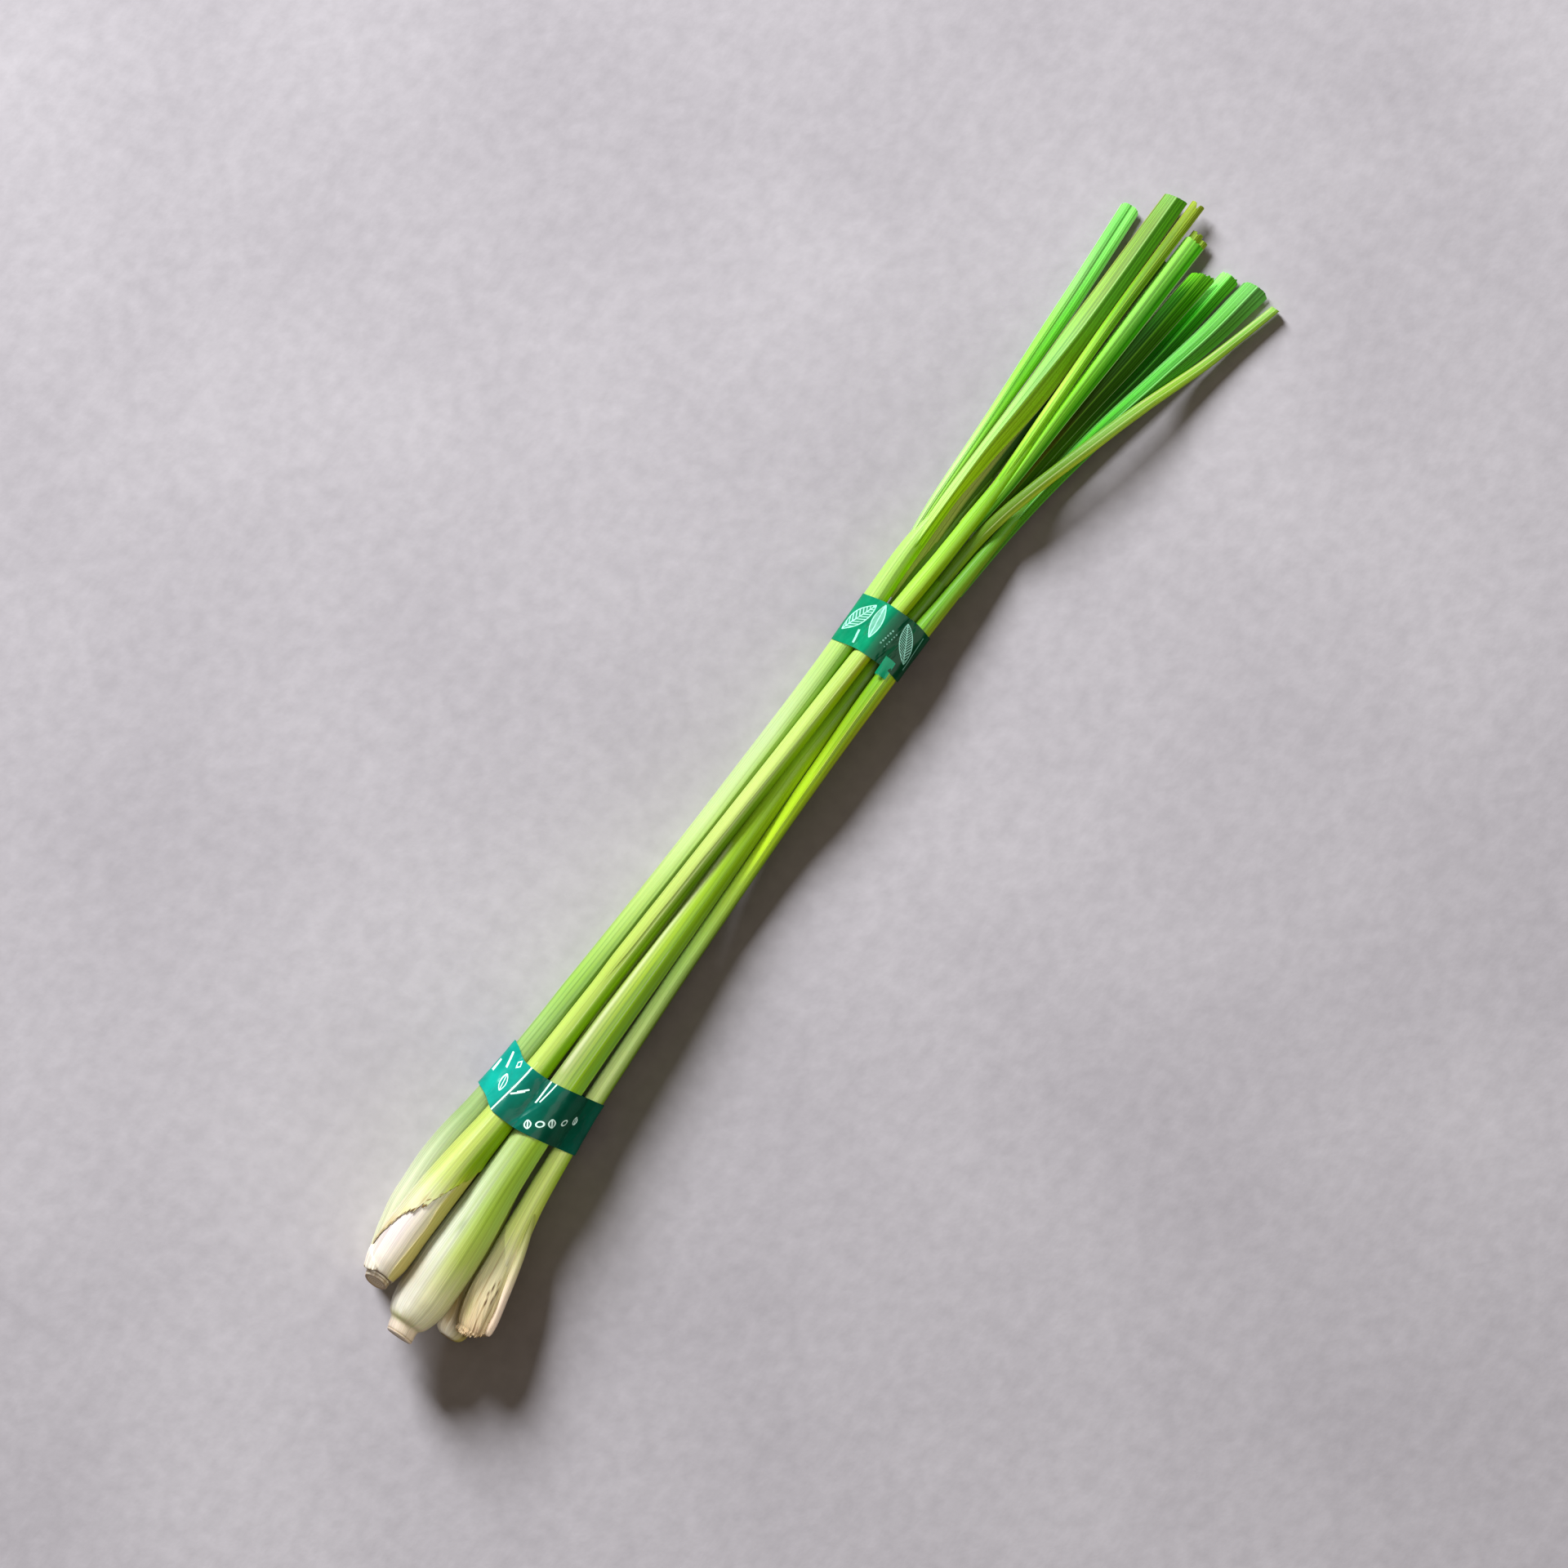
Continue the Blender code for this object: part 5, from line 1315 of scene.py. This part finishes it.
# Leaf blades. line: (along, across, height) of the highest line. spread: (along, left half, right half,
# fold depth). The rest sets the section and how the trimmed end looks.
BLADES = {
    "left_grooved_blade": dict(
        owner="stalk_left", leaf="fresh",
        line=((266, 14.0, 7.4), (285, 14.4, 6.8), (310, 14.3, 5.4), (350, 14.2, 4.0), (386.4, 14.8, 2.0)),
        spread=((266, .9, .7, .8), (285, 1.6, .9, 1.1), (310, 1.8, 1.7, 1.3), (350, 2.7, 2.7, 1.4),
                (386.4, 2.8, 2.7, 1.4)),
        Keel=3.4, Groove=.00045, Ribs=9.0, Rounded=.0013, Ragged=.0007, Ripple=.0003, Seed=1.0),
    "left_folded_blade": dict(
        owner="stalk_left", leaf="pale",
        line=((258, 12.6, 8.6), (285, 11.6, 8.4), (300, 11.0, 8.2), (325, 9.0, 7.4), (350, 7.0, 6.4),
              (395.6, 5.5, 4.4)),
        spread=((258, 2.6, 2.6, 1.8), (285, 2.2, 2.2, 2.0), (300, 1.9, 3.4, 2.4), (325, 2.6, 5.0, 2.9),
                (350, 3.9, 4.0, 2.8), (395.6, 3.3, 3.5, 2.4)),
        Keel=1.15, Ribs=11.0, Rounded=.0004, Ragged=.0006, Slant=.0006, Ripple=.0006, Seed=2.0),
    "front_rolled_blade": dict(
        owner="stalk_front", leaf="ageing",
        line=((282, 3.2, 8.5), (300, 1.8, 8.2), (325, 1.5, 7.4), (350, 1.2, 6.7), (397.6, -1.0, 4.6)),
        spread=((282, 1.9, 1.2, .8), (300, 1.5, 1.2, 1.0), (325, 1.6, 1.3, 1.2), (350, 1.6, 1.5, 1.3),
                (397.6, 2.0, 1.9, 1.1)),
        Keel=2.1, Ribs=6.0, Notch=.0016, Rounded=.0003, Ragged=.0009, Seed=3.0),
    "front_folded_blade": dict(
        owner="stalk_front", leaf="green",
        line=((282, 1.2, 8.2), (300, -0.4, 7.7), (325, -1.2, 7.0), (350, -2.4, 6.2), (388, -4.4, 4.4)),
        spread=((282, 1.2, 1.2, .8), (300, .9, 2.1, 1.4), (325, 1.1, 3.4, 2.1), (350, 1.2, 4.4, 2.4),
                (388, 1.2, 5.0, 2.2)),
        Keel=1.6, Ribs=12.0, Rounded=.0010, Ragged=.0034, Ripple=.0006, Seed=4.0),
    "front_inner_blade": dict(
        owner="stalk_front", leaf="ageing",
        line=((350, -2.6, 5.4), (390.6, -5.6, 3.6)),
        spread=((350, 1.0, 1.6, 1.0), (390.6, 1.6, 1.6, 1.0)),
        Keel=1.4, Ribs=5.0, Rounded=.0003, Ragged=.0014, Notch=.0007, Seed=5.0),
    "front_lower_blade": dict(
        owner="stalk_front", leaf="ageing",
        line=((350, -4.8, 4.4), (389.4, -8.1, 2.8)),
        spread=((350, 1.2, 1.2, .8), (389.4, 1.4, 1.4, .8)),
        Keel=1.4, Ribs=5.0, Rounded=.0003, Ragged=.0014, Seed=6.0),
    "centre_folded_blade": dict(
        owner="stalk_centre", leaf="dark",
        line=((262, -0.4, 5.0), (285, -2.0, 4.6), (300, -3.4, 4.4), (325, -6.4, 4.5), (350, -9.8, 4.7),
              (381.4, -13.5, 3.8)),
        spread=((262, 1.4, 1.4, .8), (285, 1.6, 1.5, .9), (300, 2.1, 1.7, 1.0), (325, 2.9, 2.3, 1.1),
                (350, 3.3, 3.0, 1.3), (381.4, 3.4, 3.7, 1.4)),
        Keel=1.3, Ribs=9.0, Rounded=.0012, Ragged=.0032, Slant=.0012, Seed=7.0),
    "right_folded_blade": dict(
        owner="stalk_right", leaf="shaded",
        line=((264, -4.4, 5.0), (285, -6.4, 3.6), (300, -7.6, 2.7), (325, -10.6, 2.4), (350, -15.2, 2.3),
              (385.6, -20.4, 1.8)),
        spread=((264, 2.0, 1.4, .8), (285, 2.3, 1.6, .9), (300, 2.6, 1.8, 1.0), (325, 2.6, 2.3, 1.1),
                (350, 2.5, 2.5, 1.2), (385.6, 2.9, 2.9, 1.3)),
        Keel=1.3, Ribs=9.0, Rounded=.0012, Ragged=.0028, Seed=8.0),
    "right_ribbed_blade": dict(
        owner="stalk_right", leaf="bright",
        line=((264, -5.6, 7.4), (285, -7.4, 5.8), (300, -9.4, 5.0), (325, -14.2, 4.6), (350, -20.4, 4.4),
              (370, -25.4, 3.7), (387.2, -28.6, 2.9)),
        spread=((264, 1.6, 1.6, 1.6), (285, 2.0, 2.1, 1.8), (300, 2.2, 2.3, 1.9), (325, 2.8, 2.6, 2.0),
                (350, 3.2, 2.9, 2.1), (370, 3.6, 3.6, 2.2), (387.2, 4.0, 4.0, 2.2)),
        Keel=1.15, Ribs=13.0, Rib_height=.00007, Rounded=.0014, Ragged=.0010, Seed=9.0),
    "under_blade": dict(
        owner="stalk_under", leaf="olive",
        line=((253, 7.8, 4.2), (264, 7.4, 4.1), (285, 7.0, 4.1), (305, 5.8, 3.8), (325, 4.2, 3.2),
              (350, 2.2, 2.3),
              (379, 0.2, 1.6)),
        spread=((253, 2.8, 1.5, .9), (264, 2.8, 1.5, .9), (285, 2.7, 1.9, 1.1), (305, 2.5, 2.2, 1.2),
                (325, 2.4, 2.4, 1.2), (350, 2.6, 2.6, 1.2), (379, 2.8, 2.8, 1.1)),
        Keel=1.3, Ribs=9.0, Rounded=.0010, Ragged=.0014, Seed=10.0),
}

# ---------------------------------------------------------------- the bundle

SLOTS = {name: name for name in STEMS}
SLOTS.update(band_lower="tape", band_upper="tape")


def keep(piece, node):
    """A finished piece goes with the bundle and stands for its CAD node, which it hides."""
    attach(piece, "root")
    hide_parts(node)


ROUND = round_tree()
BLADE = blade_tree()

LEFT, FRONT, RIGHT = (STEMS[name] for name in ("stalk_left", "stalk_front", "stalk_right"))

for number, (node, stem) in enumerate(STEMS.items()):
    keep(round_piece(node.replace("stalk", "stem"), stem, SKINS[node], columns=72, lumps=0.03,
                     seed=float(number)), node)
keep(torn_sheath(FRONT, SHEATH_SKIN), "stalk_front")
keep(round_piece("rolled_blade", RODS["rolled_blade"], ROLLED_SKIN, columns=36, lumps=0.12, seed=7.0,
                 hollow=0.8), "stalk_centre")
keep(round_piece("loose_tongue", RODS["loose_tongue"], TONGUE_SKIN, columns=40, lumps=0.08, seed=9.0),
     "stalk_right")
keep(leaf_layer("front_inner_strip", FRONT, STRIP_SKIN,
                ((8, 0.345), (12, 0.335), (25, 0.352), (35, 0.335), (48.8, 0.378), (53, 0.40)),
                wrap=-0.3, start=8.0, end=53.0, proud=0.3, taper=4.0), "stalk_front")
keep(sheath_patch("front_white_collar", FRONT, COLLAR_SKIN, (-0.16, 0.2),
                  ((-0.16, 8.4), (0.0, 7.0), (0.1, 6.9), (0.2, 8.0)),
                  ((-0.16, 17.0), (0.0, 14.2), (0.1, 11.6), (0.2, 9.0)),
                  proud=0.55, seed=4, fray=0.06, rise=1.0, sink=0.12, browned=1.0), "stalk_front")
keep(sheath_patch("right_outer_layer", RIGHT, STRAW_SKIN, (0.06, 0.37),
                  ((0.06, 7.2), (0.15, 6.6), (0.25, 7.0), (0.32, 8.2), (0.37, 9.2)),
                  ((0.06, 40.0), (0.2, 34.0), (0.37, 26.0)),
                  proud=0.3, seed=21, fray=0.55, rise=2.4), "stalk_right")
keep(sheath_patch("right_second_layer", RIGHT, STRAW_SKIN, (0.15, 0.31),
                  ((0.15, 8.0), (0.22, 7.2), (0.31, 9.0)), ((0.15, 24.0), (0.31, 30.0)),
                  proud=0.55, seed=33, fray=0.6, rise=2.0), "stalk_right")
keep(leaf_layer("front_outer_sheath", FRONT, SKINS["stalk_front"],
                ((112, 0.215), (130, 0.24), (175, 0.262), (212, 0.29), (235, 0.318), (270, 0.33)),
                wrap=0.45, start=112.0, end=270.0, proud=0.3, taper=12.0), "stalk_front")
keep(leaf_layer("left_outer_sheath", LEFT, SKINS["stalk_left"],
                ((96, 0.30), (140, 0.285), (200, 0.30), (262, 0.28), (280, 0.27)),
                wrap=0.5, start=96.0, end=280.0, proud=0.26, taper=12.0), "stalk_left")
keep(leaf_layer("right_outer_sheath", RIGHT, SKINS["stalk_right"],
                ((44, 0.36), (90, 0.30), (140, 0.27), (200, 0.26), (262, 0.25)),
                wrap=0.42, start=44.0, end=262.0, proud=0.26, taper=12.0), "stalk_right")
for name, blade in BLADES.items():
    sizes = {key: value for key, value in blade.items() if key[0].isupper()}
    keep(blade_piece(name, blade, LEAVES[blade["leaf"]], **sizes), blade["owner"])
keep(tape_shell("tape_lower", TAPES["band_lower"], lower_print(), seed=3), "band_lower")
UPPER = upper_print()
keep(tape_shell("tape_upper", TAPES["band_upper"], UPPER, seed=9), "band_upper")
keep(tape_flap("tape_end", TAPES["band_upper"], UPPER), "band_upper")

# ---------------------------------------------------------------- floor, light and camera

FLOOR_HALF = 2.0
CAMERA_LENS = 316.0
CAMERA_PLACE = (-0.0059, 0.0072, 4.0)
CAMERA_TURN = -56.065
ROOM_COLOUR = (1.0, 0.84, 0.66, 1.0)
ROOM_LIGHT = 0.11

floor_data = bpy.data.meshes.new("floor")
floor_data.from_pydata([(x * FLOOR_HALF, y * FLOOR_HALF, 0) for x, y in ((-1, -1), (1, -1), (1, 1), (-1, 1))],
                       [], [(0, 1, 2, 3)])
floor = add_to_scene("floor", floor_data)
stone = Shader("pale_stone")
spot = stone.node("ShaderNodeTexCoord").outputs["Object"]
cloudy, grain = stone.cloud(spot, 9.0, 5.0), stone.cloud(spot, 180.0, 4.0)
tint = stone.ramp(cloudy, [(0.3, (0.60, 0.57, 0.61)), (0.65, (0.72, 0.69, 0.73))])
tint = stone.toned(tint, grain, [(0.3, 0.93), (0.7, 1.05)])
floor_data.materials.append(stone.finish(tint, 0.8, stone.bump(grain, 0.0003, 0.3)))
floor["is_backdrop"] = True


def soft_light(name, azimuth, rise, distance, size, watts, colour):
    """Round soft light, aimed at the middle of the bundle from degrees round and above it."""
    lamp = bpy.data.lights.new(name, "AREA")
    lamp.shape, lamp.size, lamp.energy, lamp.color = "DISK", size, watts, colour
    made = add_to_scene(name, lamp)
    round_it, above = math.radians(azimuth), math.radians(rise)
    made.location = (distance * math.cos(above) * math.cos(round_it),
                     distance * math.cos(above) * math.sin(round_it), distance * math.sin(above))
    made.rotation_euler = Vector(made.location).to_track_quat("Z", "Y").to_euler()
    return made


soft_light("window_light", 62, 26, 3.0, 1.05, 150.0, (0.98, 0.99, 1.02))
ceiling = soft_light("ceiling_light", -60, 76, 2.6, 1.8, 42.0, (1.0, 0.99, 0.96))
lit = bpy.data.collections.new("lit_from_above")
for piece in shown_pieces():
    lit.objects.link(piece)
ceiling.light_linking.receiver_collection = lit
world = bpy.data.worlds.new("room")
world.use_nodes = True
sky = world.node_tree.nodes["Background"].inputs
sky["Color"].default_value, sky["Strength"].default_value = ROOM_COLOUR, ROOM_LIGHT
bpy.context.scene.world = world
bpy.context.scene.view_settings.view_transform = "Standard"

camera_data = bpy.data.cameras.new("camera")
camera_data.lens = CAMERA_LENS
camera = add_to_scene("camera", camera_data)
camera.location = CAMERA_PLACE
camera.rotation_euler = (0.0, 0.0, math.radians(CAMERA_TURN))
bpy.context.scene.camera = camera
